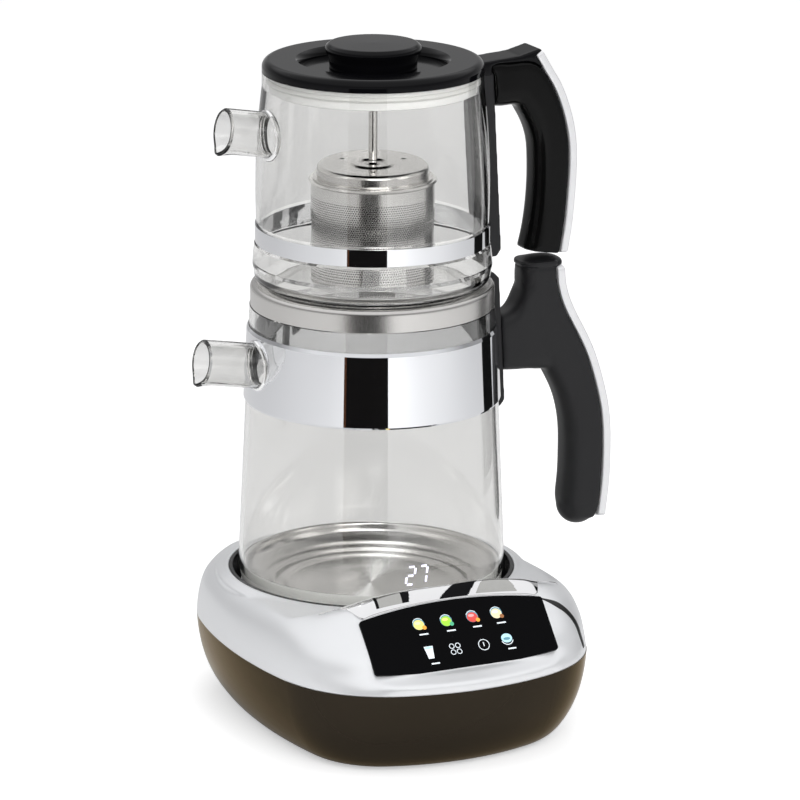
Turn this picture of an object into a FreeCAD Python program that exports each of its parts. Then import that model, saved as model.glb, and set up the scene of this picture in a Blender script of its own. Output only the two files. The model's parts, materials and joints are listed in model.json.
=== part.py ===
import FreeCAD, Part
import math
import os
import Sketcher

# Two-tier tea maker: a powered base, a glass kettle with a steel floor, a glass teapot that stands
# on the kettle's collar, its lid, and an infuser basket.  Millimetres, +Z up.  Every piece is drawn
# about the kettle's axis and then moved so that the middle of the whole stands over the origin.

V = FreeCAD.Vector
doc = FreeCAD.newDocument("TeaMaker")

SIZES = (
    # common clearances
    ("seat_gap", 0.3),
    ("joint_gap", 0.15),
    ("fit_gap", 0.08),
    # base outline at the seam between bowl and cover
    ("base_front_reach", 148.5),
    ("base_back_reach", 100.0),
    ("base_side_reach", 101.5),
    ("side_centre_y", -26.0),
    ("front_radius", 155.0),
    ("corner_radius", 66.0),
    ("side_radius", 320.0),
    ("rear_corner_radius", 75.0),
    ("back_radius", 168.0),
    # bowl
    ("bowl_bottom_z", 2.0),
    ("seam_z", 52.0),
    ("bowl_wall", 2.5),
    ("bowl_inset", 24.7),
    ("bowl_roundness", 1.75),
    ("foot_radius", 8.0),
    ("foot_height", 3.0),
    ("foot_x", 52.0),
    ("foot_front_y", 96.0),
    ("foot_rear_y", 56.0),
    ("screw_x", 44.0),
    ("screw_front_y", 52.0),
    ("screw_rear_y", 44.0),
    ("screw_radius", 1.6),
    ("screw_head_radius", 3.4),
    ("screw_head_depth", 1.2),
    ("screw_length", 14.0),
    ("post_radius", 4.5),
    ("vent_length", 34.0),
    ("vent_width", 2.6),
    ("vent_pitch", 8.0),
    ("inlet_z", 22.0),
    ("inlet_radius", 7.5),
    ("inlet_bore", 3.6),
    ("inlet_flange", 1.6),
    # top cover
    ("cover_wall", 2.5),
    ("edge_rise", 6.0),
    ("edge_inset", 1.0),
    ("ledge_rise", 2.5),
    ("ledge_side_inset", 1.6),
    ("ledge_back_inset", 1.6),
    ("shoulder_rise", 14.5),
    ("shoulder_inset", 2.6),
    ("crown_rise", 25.0),
    ("crown_back_inset", 11.0),
    ("crown_side_inset", 14.2),
    ("fascia_flatness", 900.0),
    ("fascia_corner_radius", 46.0),
    ("fascia_bow", 2.0),
    ("roof_drop", 0.4),
    ("roof_radius", 270.0),
    ("deck_rise", 7.5),
    ("deck_front_y", 55.0),
    ("deck_slope_y", 90.0),
    ("deck_slope_rise", 9.5),
    ("dish_rise", 1.5),
    ("dish_margin", 4.5),
    ("ridge_width", 8.8),
    ("ridge_radius", 300.0),
    ("ridge_corner_radius", 62.0),
    ("well_radius", 84.5),
    ("well_rim_rise", 2.5),
    ("well_lip", 7.0),
    # sloping fascia, drawn flat and then tilted
    ("fascia_tilt", 47.0),
    ("fascia_y", 120.0),
    ("fascia_rise", 15.5),
    ("panel_half_width", 58.2),
    ("panel_foot_u", 17.4),
    ("panel_head_u", 17.2),
    ("panel_foot_radius", 398.0),
    ("panel_head_radius", 283.0),
    ("panel_corner", 2.0),
    ("panel_thickness", 1.5),
    ("board_half_width", 49.0),
    ("board_half_height", 12.5),
    ("board_thickness", 1.6),
    ("arch_tip_x", 76.0),
    ("arch_thickness", 2.0),
    ("side_trim_width", 2.6),
    ("side_trim_depth", 1.6),
    # well liner and connector
    ("liner_wall", 2.0),
    ("well_depth", 21.0),
    ("liner_flange", 2.0),
    ("plug_radius", 15.0),
    ("plug_flange_radius", 24.0),
    ("plug_height", 6.5),
    ("plug_socket_radius", 4.0),
    ("board_z", 16.0),
    ("board_length", 84.0),
    ("board_width", 62.0),
    ("relay_length", 16.0),
    ("relay_width", 12.0),
    ("relay_height", 10.0),
    ("relay_pitch", 24.0),
    # kettle
    ("kettle_foot_rise", 11.6),
    ("kettle_foot_radius", 76.4),
    ("kettle_bulge_rise", 21.4),
    ("kettle_bulge_radius", 78.5),
    ("kettle_bulge_curve", 75.0),
    ("kettle_neck_rise", 147.4),
    ("kettle_neck_radius", 71.9),
    ("kettle_rim_rise", 6.6),
    ("kettle_wall", 2.2),
    ("kettle_rim_step", 1.4),
    ("skirt_radius", 77.2),
    ("skirt_wall", 2.4),
    ("seal_thickness", 1.1),
    ("pan_thickness", 0.8),
    ("pan_top_drop", 1.6),
    ("pan_centre_radius", 57.0),
    ("pan_ring_radius", 68.0),
    ("pan_ring_drop", 1.5),
    ("pan_depth", 15.0),
    ("element_radius", 44.0),
    ("element_tube", 2.4),
    ("element_disc_radius", 54.0),
    ("element_disc_thickness", 1.3),
    ("socket_radius", 22.0),
    ("band_head_drop", 11.6),
    ("band_height", 44.4),
    ("band_thickness", 1.1),
    ("collar_foot_rise", 0.4),
    ("collar_height", 12.9),
    ("collar_radius", 71.5),
    ("collar_thickness", 0.8),
    ("collar_shoulder", 3.0),
    ("collar_mouth", 60.0),
    ("collar_lip", 3.5),
    # spouts
    ("spout_tilt", 10.0),
    ("spout_radius", 13.2),
    ("spout_bore", 11.2),
    ("spout_flare", 2.0),
    ("spout_flare_radius", 24.0),
    ("kettle_spout_rise", 26.1),
    ("kettle_spout_reach", 111.3),
    ("teapot_spout_drop", 23.9),
    ("teapot_spout_reach", 97.2),
    # teapot
    ("teapot_wall", 2.0),
    ("teapot_floor", 3.0),
    ("heel_radius", 69.2),
    ("heel_round", 6.0),
    ("bulge_rise", 11.0),
    ("bulge_radius", 70.1),
    ("bulge_curve_radius", 90.0),
    ("groove_foot_rise", 24.4),
    ("groove_height", 11.0),
    ("groove_radius", 67.4),
    ("groove_shoulder_foot", 69.0),
    ("groove_shoulder_head", 68.0),
    ("throat_rise", 81.0),
    ("throat_radius", 64.5),
    ("taper_curve_radius", 500.0),
    ("teapot_rim_rise", 8.6),
    ("teapot_band_thickness", 1.1),
    # lid
    ("lid_thickness", 6.7),
    ("lid_edge_round", 4.5),
    ("lid_recess_outer", 45.0),
    ("lid_recess_inner", 41.6),
    ("lid_recess_depth", 5.0),
    ("lid_wall", 2.4),
    ("knob_radius", 27.0),
    ("knob_neck_radius", 24.6),
    ("knob_rise", 9.3),
    ("knob_edge", 3.0),
    ("lid_collar_radius", 60.2),
    ("lid_collar_wall", 1.6),
    ("lid_collar_depth", 11.4),
    ("lid_gasket_depth", 4.0),
    # infuser
    ("infuser_radius", 35.5),
    ("sleeve_radius", 36.0),
    ("sleeve_rise", 36.7),
    ("infuser_rim_radius", 37.5),
    ("infuser_height", 58.7),
    ("infuser_wall", 0.7),
    ("infuser_heel", 4.0),
    ("cap_radius", 32.7),
    ("cap_rise", 7.5),
    ("cap_edge", 2.4),
    ("cap_plug_depth", 4.0),
    ("cap_thickness", 1.2),
    ("cap_hole_circle", 20.8),
    ("cap_hole_radius", 1.5),
    ("rod_radius", 2.6),
    ("rod_length", 38.5),
    # handles: reach, section half width, strip and cap thickness
    ("kettle_grip_reach", 153.3),
    ("grip_half_width", 11.5),
    ("strip_thickness", 4.6),
    ("strip_half_width", 10.6),
    ("strip_gap", 0.45),
    ("mount_half_width", 9.0),
    ("mount_clearance", 0.3),
    ("grip_cap_thickness", 2.6),
    ("kettle_mount_foot_drop", 13.9),
    ("kettle_mount_head_drop", 0.5),
    ("kettle_mount_foot_x", 83.0),
    ("kettle_mount_head_x", 78.6),
    ("teapot_mount_foot_drop", 15.9),
    ("teapot_mount_head_drop", 3.0),
    ("teapot_mount_foot_x", 79.6),
    ("teapot_mount_head_x", 73.6),
    ("teapot_grip_reach", 127.5),
    ("kettle_screw_drop", 36.7),
    ("kettle_screw_pitch", 17.0),
    ("teapot_screw_drop", 8.0),
    ("teapot_screw_pitch", 13.0),
    ("handle_screw_length", 13.0),
)

# Cross-sections of the two grips from top to bottom of the kettle's and from the foot of the
# teapot's to its arm: where the back face lies between mount and reach, drop below the kettle's
# collar or the teapot's rim, lean of the section in degrees, depth from back to inner side, half
# width.
KETTLE_GRIP = (
    (0.5616, -0.2, 0.0, 21.3, 11.5),
    (0.5723, 11.5, 8.0, 21.8, 11.5),
    (0.6191, 23.5, 20.0, 24.0, 11.5),
    (0.7396, 41.0, 27.0, 26.0, 11.5),
    (0.8467, 57.3, 23.0, 26.0, 11.5),
    (0.9177, 73.4, 16.5, 23.8, 11.5),
    (0.9766, 91.3, 9.8, 23.2, 11.5),
    (0.9960, 105.7, 3.0, 23.0, 11.5),
    (0.9980, 121.4, -1.0, 23.0, 11.5),
    (0.9886, 139.5, -5.0, 23.1, 11.5),
    (0.9632, 154.7, -10.0, 21.6, 11.3),
    (0.9264, 162.1, -24.0, 16.4, 9.8),
    (0.8849, 165.3, -48.0, 8.0, 6.0),
)
TEAPOT_GRIP = (
    (0.8980, 118.5, -8.7, 21.4, 11.5),
    (0.9434, 103.6, -7.0, 20.4, 11.5),
    (0.9805, 83.7, -4.8, 20.1, 11.5),
    (0.9981, 66.9, -1.7, 20.6, 11.5),
    (0.9944, 53.6, 5.0, 20.9, 11.5),
    (0.9536, 39.6, 14.0, 21.4, 11.5),
    (0.8609, 24.1, 31.0, 23.0, 11.5),
    (0.7403, 11.8, 52.0, 25.4, 11.5),
    (0.5826, 2.8, 68.0, 27.0, 11.5),
    (0.3692, 1.0, 79.0, 26.8, 11.5),
    (0.2069, 0.9, 84.5, 26.4, 11.1),
    (0.0445, 1.6, 90.0, 25.4, 10.0),
)
STATION = ("share", "drop", "lean", "depth", "half_width")
for grip, stations in (("kettle_grip", KETTLE_GRIP), ("teapot_grip", TEAPOT_GRIP)):
    for k, station in enumerate(stations):
        SIZES += tuple(("%s_%s_%d" % (grip, what, k), number) for what, number in zip(STATION, station))

# Cross-sections of the arm that joins the kettle's grip to its mount: place between mount and
# reach, drop of its underside and of its top below the collar, half width.
KETTLE_ARM = (
    (0.0120, 62.4, 28.7, 9.6),
    (0.1124, 62.7, 25.9, 10.7),
    (0.1995, 63.0, 18.2, 11.3),
    (0.2731, 63.3, 7.7, 11.3),
    (0.3802, 64.3, 5.7, 10.8),
    (0.4739, 64.1, 13.7, 9.0),
)
ARM_STATION = ("share", "foot_drop", "head_drop", "half_width")
for k, station in enumerate(KETTLE_ARM):
    SIZES += tuple(("kettle_arm_%s_%d" % (what, k), number) for what, number in zip(ARM_STATION, station))

# Plan of the dark inlay on the cover's right shoulder: shares of the base's half width and of the
# fascia's distance in front of the axis.
TRIM_PATH = ((0.6142, 0.8958), (0.6904, 0.8633), (0.7563, 0.8517), (0.8122, 0.8667), (0.9239, 0.925))
for k, station in enumerate(TRIM_PATH):
    SIZES += (("trim_side_share_%d" % k, station[0]), ("trim_front_share_%d" % k, station[1]))

sheet = doc.addObject("Spreadsheet::Sheet", "Sizes")
for row, (alias, number) in enumerate(SIZES, start=1):
    sheet.set("A%d" % row, alias)
    sheet.set("B%d" % row, str(number))
    sheet.setAlias("B%d" % row, alias)
doc.recompute()


class Size:
    """A number together with the sheet expression that gives it."""

    def __init__(self, value, text):
        self.value = float(value)
        self.text = text

    def __add__(self, other):
        other = as_size(other)
        return Size(self.value + other.value, "(%s + %s)" % (self.text, other.text))

    def __sub__(self, other):
        other = as_size(other)
        return Size(self.value - other.value, "(%s - %s)" % (self.text, other.text))

    def __mul__(self, other):
        other = as_size(other)
        return Size(self.value * other.value, "(%s * %s)" % (self.text, other.text))

    def __truediv__(self, other):
        other = as_size(other)
        return Size(self.value / other.value, "(%s / %s)" % (self.text, other.text))

    def __pow__(self, other):
        other = as_size(other)
        return Size(self.value ** other.value, "(%s ^ %s)" % (self.text, other.text))

    def __neg__(self):
        return Size(-self.value, "(0 - %s)" % self.text)

    def __radd__(self, other):
        return as_size(other) + self

    def __rsub__(self, other):
        return as_size(other) - self

    def __rmul__(self, other):
        return as_size(other) * self

    def __rtruediv__(self, other):
        return as_size(other) / self


def as_size(number):
    if isinstance(number, Size):
        return number
    return Size(number, "(%.6f)" % number)


def sine(angle):
    return Size(math.sin(math.radians(angle.value)), "sin(%s)" % angle.text)


def cosine(angle):
    return Size(math.cos(math.radians(angle.value)), "cos(%s)" % angle.text)


class Dimensions:
    """Every cell of the sheet by its alias."""


dim = Dimensions()
for alias, number in SIZES:
    setattr(dim, alias, Size(number, "Sizes.%s" % alias))

# Distances from the axis that follow from the outline and from the well.
dim.ledge_side_reach = dim.base_side_reach - dim.ledge_side_inset
dim.ledge_back_reach = dim.base_back_reach - dim.ledge_back_inset
dim.shoulder_side_reach = dim.ledge_side_reach - dim.shoulder_inset
dim.shoulder_back_reach = dim.ledge_back_reach - dim.shoulder_inset
dim.crown_side_reach = dim.shoulder_side_reach - dim.crown_side_inset
dim.crown_back_reach = dim.shoulder_back_reach - dim.crown_back_inset
dim.dish_front_reach = dim.well_radius + dim.dish_margin
dim.ridge_back_reach = dim.dish_front_reach + dim.ridge_width

# Levels above the table, each from the level next to it.
dim.edge_z = dim.seam_z + dim.edge_rise
dim.ledge_z = dim.edge_z + dim.ledge_rise
dim.fascia_z = dim.ledge_z + dim.fascia_rise
dim.shoulder_z = dim.ledge_z + dim.shoulder_rise
dim.deck_z = dim.shoulder_z + dim.deck_rise
dim.deck_slope_z = dim.deck_z + dim.deck_slope_rise
dim.dish_z = dim.deck_z + dim.dish_rise
dim.well_rim_z = dim.deck_z + dim.well_rim_rise
dim.crown_z = dim.shoulder_z + dim.crown_rise
dim.roof_z = dim.crown_z - dim.roof_drop
dim.liner_floor_z = dim.well_rim_z - dim.well_depth
dim.plug_top_z = dim.liner_floor_z + dim.plug_height
dim.kettle_foot_z = dim.liner_floor_z + dim.kettle_foot_rise
dim.pan_top_z = dim.kettle_foot_z - dim.pan_top_drop
dim.pan_wall_top_z = dim.pan_top_z + dim.pan_depth
dim.kettle_bulge_z = dim.kettle_foot_z + dim.kettle_bulge_rise
dim.kettle_neck_z = dim.kettle_bulge_z + dim.kettle_neck_rise
dim.kettle_rim_z = dim.kettle_neck_z + dim.kettle_rim_rise
dim.band_head_z = dim.kettle_neck_z - dim.band_head_drop
dim.band_foot_z = dim.band_head_z - dim.band_height
dim.kettle_spout_z = dim.band_foot_z + dim.kettle_spout_rise
dim.collar_foot_z = dim.kettle_neck_z + dim.collar_foot_rise
dim.collar_top_z = dim.collar_foot_z + dim.collar_height
dim.teapot_foot_z = dim.collar_top_z + dim.seat_gap
dim.bulge_z = dim.teapot_foot_z + dim.bulge_rise
dim.groove_foot_z = dim.teapot_foot_z + dim.groove_foot_rise
dim.groove_head_z = dim.groove_foot_z + dim.groove_height
dim.throat_z = dim.groove_head_z + dim.throat_rise
dim.teapot_spout_z = dim.throat_z - dim.teapot_spout_drop
dim.teapot_rim_z = dim.throat_z + dim.teapot_rim_rise
dim.lid_top_z = dim.teapot_rim_z + dim.seat_gap + dim.lid_thickness
dim.knob_top_z = dim.lid_top_z + dim.knob_rise
dim.basket_foot_z = dim.teapot_foot_z + dim.teapot_floor + dim.seat_gap
dim.sleeve_foot_z = dim.basket_foot_z + dim.sleeve_rise
dim.infuser_rim_z = dim.basket_foot_z + dim.infuser_height
dim.cap_top_z = dim.infuser_rim_z + dim.cap_rise
dim.rod_top_z = dim.cap_top_z + dim.rod_length

# ---------------------------------------------------------------- helpers


def bind(item, path, size):
    item.setExpression(path, as_size(size).text)


def plane(body, role):
    return next(f for f in body.Origin.OriginFeatures if f.Role == role)


def new_body(name):
    return doc.addObject("PartDesign::Body", name)


def new_sketch(body, role, name, lift=None):
    """A sketch on one of the body's own planes, lifted along its normal."""
    sketch = body.newObject("Sketcher::SketchObject", name)
    sketch.AttachmentSupport = [(plane(body, role), "")]
    sketch.MapMode = "FlatFace"
    if lift is not None:
        bind(sketch, "AttachmentOffset.Base.z", lift)
    return sketch


def fix(sketch, kind, *where):
    """Adds a dimension whose value is the last argument, bound to the sheet."""
    size = as_size(where[-1])
    index = sketch.addConstraint(Sketcher.Constraint(kind, *where[:-1], size.value))
    sketch.setExpression("Constraints[%d]" % index, size.text)


def arc_between(start, end, radius):
    """Arc of the given radius from start to end, turning left when radius is positive."""
    chord = end - start
    half = chord.Length / 2
    reach = math.sqrt(max(radius * radius - half * half, 0.0))
    left = V(-chord.y, chord.x, 0).normalize()
    if radius < 0:
        left = -left
        start, end = end, start
    centre = (start + end) * 0.5 + left * reach
    first = math.atan2(start.y - centre.y, start.x - centre.x)
    last = math.atan2(end.y - centre.y, end.x - centre.x)
    return Part.ArcOfCircle(Part.Circle(centre, V(0, 0, 1), abs(radius)), first, last)


def outline(sketch, points, arcs=None):
    """Closed outline through points; arcs gives the radius of the edge that leaves a point."""
    arcs = arcs or {}
    corners = [(as_size(x), as_size(y)) for x, y in points]
    count = len(corners)
    edges = []
    for i, (x, y) in enumerate(corners):
        start = V(x.value, y.value, 0)
        end = V(corners[(i + 1) % count][0].value, corners[(i + 1) % count][1].value, 0)
        if i in arcs:
            radius = as_size(arcs[i])
            edge = sketch.addGeometry(arc_between(start, end, radius.value), False)
            ends = (1, 2) if radius.value > 0 else (2, 1)
            fix(sketch, "Radius", edge, radius if radius.value > 0 else -radius)
        else:
            edge = sketch.addGeometry(Part.LineSegment(start, end), False)
            ends = (1, 2)
        edges.append((edge, ends))
    for i, (x, y) in enumerate(corners):
        edge, ends = edges[i]
        before, before_ends = edges[i - 1]
        sketch.addConstraint(Sketcher.Constraint("Coincident", before, before_ends[1], edge, ends[0]))
        fix(sketch, "DistanceX", -1, 1, edge, ends[0], x)
        fix(sketch, "DistanceY", -1, 1, edge, ends[0], y)


def circle(sketch, x, y, radius):
    x, y, radius = as_size(x), as_size(y), as_size(radius)
    edge = sketch.addGeometry(Part.Circle(V(x.value, y.value, 0), V(0, 0, 1), radius.value), False)
    fix(sketch, "Radius", edge, radius)
    fix(sketch, "DistanceX", -1, 1, edge, 3, x)
    fix(sketch, "DistanceY", -1, 1, edge, 3, y)


def turned(name, points, arcs=None):
    """Body of revolution about Z from a profile of (radius, height) points."""
    body = new_body(name)
    profile = new_sketch(body, "XZ_Plane", name + "_profile")
    outline(profile, points, arcs)
    turn = body.newObject("PartDesign::Revolution", name + "_turn")
    turn.Profile = profile
    turn.ReferenceAxis = (profile, ["V_Axis"])
    turn.Angle = 360
    profile.Visibility = False
    return body


def padded(name, role, points, arcs, length, lift=None, middle=False):
    """Body extruded from a closed outline."""
    body = new_body(name)
    profile = new_sketch(body, role, name + "_outline", lift)
    outline(profile, points, arcs)
    pad = body.newObject("PartDesign::Pad", name + "_pad")
    pad.Profile = profile
    bind(pad, "Length", length)
    pad.Midplane = middle
    return body


def lofted(body, name, sections, ruled=False):
    loft = body.newObject("PartDesign::AdditiveLoft", name)
    loft.Profile = sections[0]
    loft.Sections = sections[1:]
    loft.Ruled = ruled
    return loft


def cylinder(name, radius, height, x=0, y=0, z=0, turn=None):
    item = doc.addObject("Part::Cylinder", name)
    bind(item, "Radius", radius)
    bind(item, "Height", height)
    if turn is not None:
        item.Placement = FreeCAD.Placement(V(0, 0, 0), FreeCAD.Rotation(turn[0], 1.0))
        bind(item, "Placement.Rotation.Angle", turn[1])
    locate(item, x, y, z)
    return item


def box(name, size, x, y, z):
    item = doc.addObject("Part::Box", name)
    for side, length in zip(("Length", "Width", "Height"), size):
        bind(item, side, length)
    locate(item, x, y, z)
    return item


def locate(item, x, y, z):
    for axis, value in zip("xyz", (x, y, z)):
        bind(item, "Placement.Base." + axis, value)


def cut(name, base, *tools):
    item = doc.addObject("Part::Cut", name)
    item.Base = base
    item.Tool = tools[0] if len(tools) == 1 else joined(name + "_tools", *tools)
    return item


def joined(name, *shapes):
    item = doc.addObject("Part::MultiFuse", name)
    item.Shapes = list(shapes)
    return item


def common(name, *shapes):
    item = doc.addObject("Part::MultiCommon", name)
    item.Shapes = list(shapes)
    return item


def grouped(name, items):
    item = doc.addObject("Part::Compound", name)
    item.Links = items
    return item


middle_x = (dim.kettle_spout_reach - dim.kettle_grip_reach) * 0.5
middle_y = (dim.base_front_reach - dim.base_back_reach) * 0.5
pieces = []


def finish(item, label, x=0, y=0, z=0, tilt=None):
    """Names a sub-part and moves it from the kettle's axis to its place in the whole."""
    item.Label = label
    if tilt is not None:
        item.Placement = FreeCAD.Placement(V(0, 0, 0), FreeCAD.Rotation(V(1, 0, 0), 1.0))
        bind(item, "Placement.Rotation.Angle", tilt)
    locate(item, middle_x + x, middle_y + y, z)
    pieces.append(item)
    return item

# ---------------------------------------------------------------- base outlines


def meeting(first, first_reach, second, second_reach, upward):
    """Point at given reaches from two centres, on the side chosen by upward."""
    line = second - first
    along = (first_reach ** 2 - second_reach ** 2 + line.Length ** 2) / (2 * line.Length)
    across = math.sqrt(max(first_reach ** 2 - along ** 2, 0.0))
    unit = V(line).normalize()
    foot = first + unit * along
    normal = V(-unit.y, unit.x, 0) * across
    choices = (foot + normal, foot - normal)
    return max(choices, key=lambda point: point.x + upward * point.y)


def oval(sketch, front, back, side, radii, inset=0):
    """Eight tangent arcs: front, corner, side, rear corner, back and their mirror images."""
    front, back, side = front - inset, back - inset, side - inset
    radii = [radius - inset for radius in radii]
    r_front, r_corner, r_side, r_rear, r_back = [radius.value for radius in radii]
    front_c = V(0, r_front - front.value, 0)
    back_c = V(0, back.value - r_back, 0)
    side_c = V(side.value - r_side, dim.side_centre_y.value, 0)
    corner_c = meeting(front_c, r_front - r_corner, side_c, r_side - r_corner, -1)
    rear_c = meeting(back_c, r_back - r_rear, side_c, r_side - r_rear, 1)

    def heading(start, end):
        return math.atan2(end.y - start.y, end.x - start.x)

    turns = [heading(front_c, corner_c), heading(side_c, corner_c), heading(side_c, rear_c),
             heading(back_c, rear_c)]
    right = [(corner_c, r_corner, turns[0], turns[1]), (side_c, r_side, turns[1], turns[2]),
             (rear_c, r_rear, turns[2], turns[3])]
    left = [(V(-c.x, c.y, 0), r, math.pi - last, math.pi - first) for c, r, first, last in right[::-1]]
    arcs = [(front_c, r_front, -math.pi - turns[0], turns[0])] + right
    arcs += [(back_c, r_back, turns[3], math.pi - turns[3])] + left
    edges = [sketch.addGeometry(Part.ArcOfCircle(Part.Circle(c, V(0, 0, 1), r), first, last), False)
             for c, r, first, last in arcs]
    for before, after in zip(edges, edges[1:] + edges[:1]):
        sketch.addConstraint(Sketcher.Constraint("Tangent", before, 2, after, 1))
    order = (0, 1, 2, 3, 4, 3, 2, 1)
    for edge, which in zip(edges, order):
        fix(sketch, "Radius", edge, radii[which])
    for edge, x, y in ((edges[0], 0, radii[0] - front), (edges[4], 0, back - radii[4]),
                       (edges[2], side - radii[2], dim.side_centre_y),
                       (edges[6], radii[2] - side, dim.side_centre_y)):
        fix(sketch, "DistanceX", -1, 1, edge, 3, x)
        fix(sketch, "DistanceY", -1, 1, edge, 3, y)


SEAM_RADII = (dim.front_radius, dim.corner_radius, dim.side_radius, dim.rear_corner_radius,
              dim.back_radius)


def base_section(body, name, level, inset=0):
    sketch = new_sketch(body, "XY_Plane", name, level)
    oval(sketch, dim.base_front_reach, dim.base_back_reach, dim.base_side_reach, SEAM_RADII, inset)
    return sketch


# ---------------------------------------------------------------- bowl

# The bowl's wall follows a rounded curve: upright at the seam, nearly level at the floor.
BOWL_STEPS = (0.0, 0.4, 0.68, 0.86, 0.96, 0.995)


def bowl_loft(name, floor_z, wall):
    body = new_body(name)
    sections = []
    for k, step in enumerate(BOWL_STEPS):
        level = dim.seam_z - (dim.seam_z - floor_z) * (step / BOWL_STEPS[-1])
        bend = 1 - (1 - as_size(step) ** dim.bowl_roundness) ** (1 / dim.bowl_roundness)
        sections.append(base_section(body, "%s_%d" % (name, k), level, dim.bowl_inset * bend + wall))
    lofted(body, name + "_loft", sections)
    return body


bowl_outer = bowl_loft("bowl_outer", dim.bowl_bottom_z, 0)
bowl_inner = bowl_loft("bowl_inner", dim.bowl_bottom_z + dim.bowl_wall, dim.bowl_wall)
foot_places = [(sx * dim.foot_x, y) for sx in (-1, 1) for y in (-dim.foot_front_y, dim.foot_rear_y)]
screw_places = [(sx * dim.screw_x, y) for sx in (-1, 1) for y in (-dim.screw_front_y, dim.screw_rear_y)]
bowl_tools = [bowl_inner]
for k, (x, y) in enumerate(foot_places):
    bowl_tools.append(cylinder("foot_pocket_%d" % k, dim.foot_radius + dim.joint_gap, dim.foot_height,
                               x, y, 0))
for k, (x, y) in enumerate(screw_places):
    bowl_tools.append(cylinder("screw_hole_%d" % k, dim.screw_radius + dim.joint_gap,
                               dim.bowl_wall * 3, x, y, dim.bowl_bottom_z - dim.bowl_wall))
    bowl_tools.append(cylinder("screw_sink_%d" % k, dim.screw_head_radius + dim.joint_gap,
                               dim.screw_head_depth + dim.bowl_bottom_z, x, y, 0))
VENTS = 6
for k in range(VENTS):
    bowl_tools.append(box("vent_%d" % k, (dim.vent_length, dim.vent_width, dim.bowl_wall * 3),
                          -dim.vent_length / 2, dim.vent_pitch * (k - (VENTS - 1) / 2) - dim.vent_width / 2,
                          dim.bowl_bottom_z - dim.bowl_wall))
bowl_tools.append(cylinder("inlet_hole", dim.inlet_radius - dim.inlet_flange + dim.joint_gap,
                           dim.bowl_wall * 12, 0, dim.base_back_reach, dim.inlet_z,
                           (V(1, 0, 0), as_size(90))))
finish(cut("base_bowl", bowl_outer, *bowl_tools), "base_bowl")

feet = [cylinder("foot_%d" % k, dim.foot_radius, dim.foot_height, x, y, 0)
        for k, (x, y) in enumerate(foot_places)]
finish(grouped("rubber_feet", feet), "rubber_feet")

screws = []
for k, (x, y) in enumerate(screw_places):
    head = cylinder("base_screw_head_%d" % k, dim.screw_head_radius, dim.screw_head_depth, x, y,
                    dim.bowl_bottom_z)
    shank = cylinder("base_screw_shank_%d" % k, dim.screw_radius, dim.screw_length, x, y,
                     dim.bowl_bottom_z + dim.screw_head_depth)
    screws.append(joined("base_screw_%d" % k, head, shank))
finish(grouped("base_screws", screws), "base_screws")

# Ring where a mains cord would enter: flange outside, sleeve through the wall.
inlet_reach = dim.base_back_reach - dim.bowl_inset * 0.147
inlet_flange = cylinder("inlet_flange_disc", dim.inlet_radius, dim.inlet_flange, 0,
                        inlet_reach + dim.inlet_flange, dim.inlet_z, (V(1, 0, 0), as_size(90)))
inlet_sleeve = cylinder("inlet_sleeve", dim.inlet_radius - dim.inlet_flange, dim.bowl_wall * 4, 0,
                        inlet_reach + dim.joint_gap, dim.inlet_z, (V(1, 0, 0), as_size(90)))
inlet_bore = cylinder("inlet_bore_tool", dim.inlet_bore, dim.bowl_wall * 8, 0,
                      inlet_reach + dim.bowl_wall * 2, dim.inlet_z, (V(1, 0, 0), as_size(90)))
finish(cut("cord_inlet", joined("inlet_body", inlet_flange, inlet_sleeve), inlet_bore), "cord_inlet")

# ---------------------------------------------------------------- top cover

# Points of the fascia are given as (x, u), u running up the slope from a line across the base.
tilt = dim.fascia_tilt
far = dim.base_front_reach * 2
high = dim.crown_z * 1.5


def fascia_front(z):
    """How far in front of the axis the fascia plane lies at a height."""
    return dim.fascia_y - (z - dim.fascia_z) * cosine(tilt) / sine(tilt)


def slope_tool(name, points, arcs, foot, height):
    """Extruded tool square to the fascia, between two levels above its face."""
    body = padded(name, "XY_Plane", points, arcs, height, foot)
    body.Placement = FreeCAD.Placement(V(0, 0, 0), FreeCAD.Rotation(V(1, 0, 0), 1.0))
    bind(body, "Placement.Rotation.Angle", tilt)
    locate(body, 0, -dim.fascia_y, dim.fascia_z)
    return body


FASCIA_RADII = (dim.fascia_flatness, dim.fascia_corner_radius, dim.side_radius,
                dim.rear_corner_radius, dim.back_radius)
RIDGE_RADII = (dim.ridge_radius, dim.ridge_corner_radius, dim.side_radius, dim.rear_corner_radius,
               dim.back_radius)


def cover_column(name, inset, foot_z):
    """Tapering column whose side walls are those of the cover."""
    body = new_body(name)
    foot = base_section(body, name + "_foot", foot_z, inset)
    edge = base_section(body, name + "_edge", dim.edge_z, dim.edge_inset + inset)
    lofted(body, name + "_band", [foot, edge], True)
    walls = [edge]
    for k, (z, back, side) in enumerate(((dim.ledge_z, dim.ledge_back_reach, dim.ledge_side_reach),
                                         (dim.shoulder_z, dim.shoulder_back_reach, dim.shoulder_side_reach),
                                         (dim.crown_z, dim.crown_back_reach, dim.crown_side_reach))):
        section = new_sketch(body, "XY_Plane", "%s_wall_%d" % (name, k), z)
        oval(section, fascia_front(z) + dim.fascia_bow, back, side, FASCIA_RADII, inset)
        walls.append(section)
    lofted(body, name + "_walls", walls, True)
    return body


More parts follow.
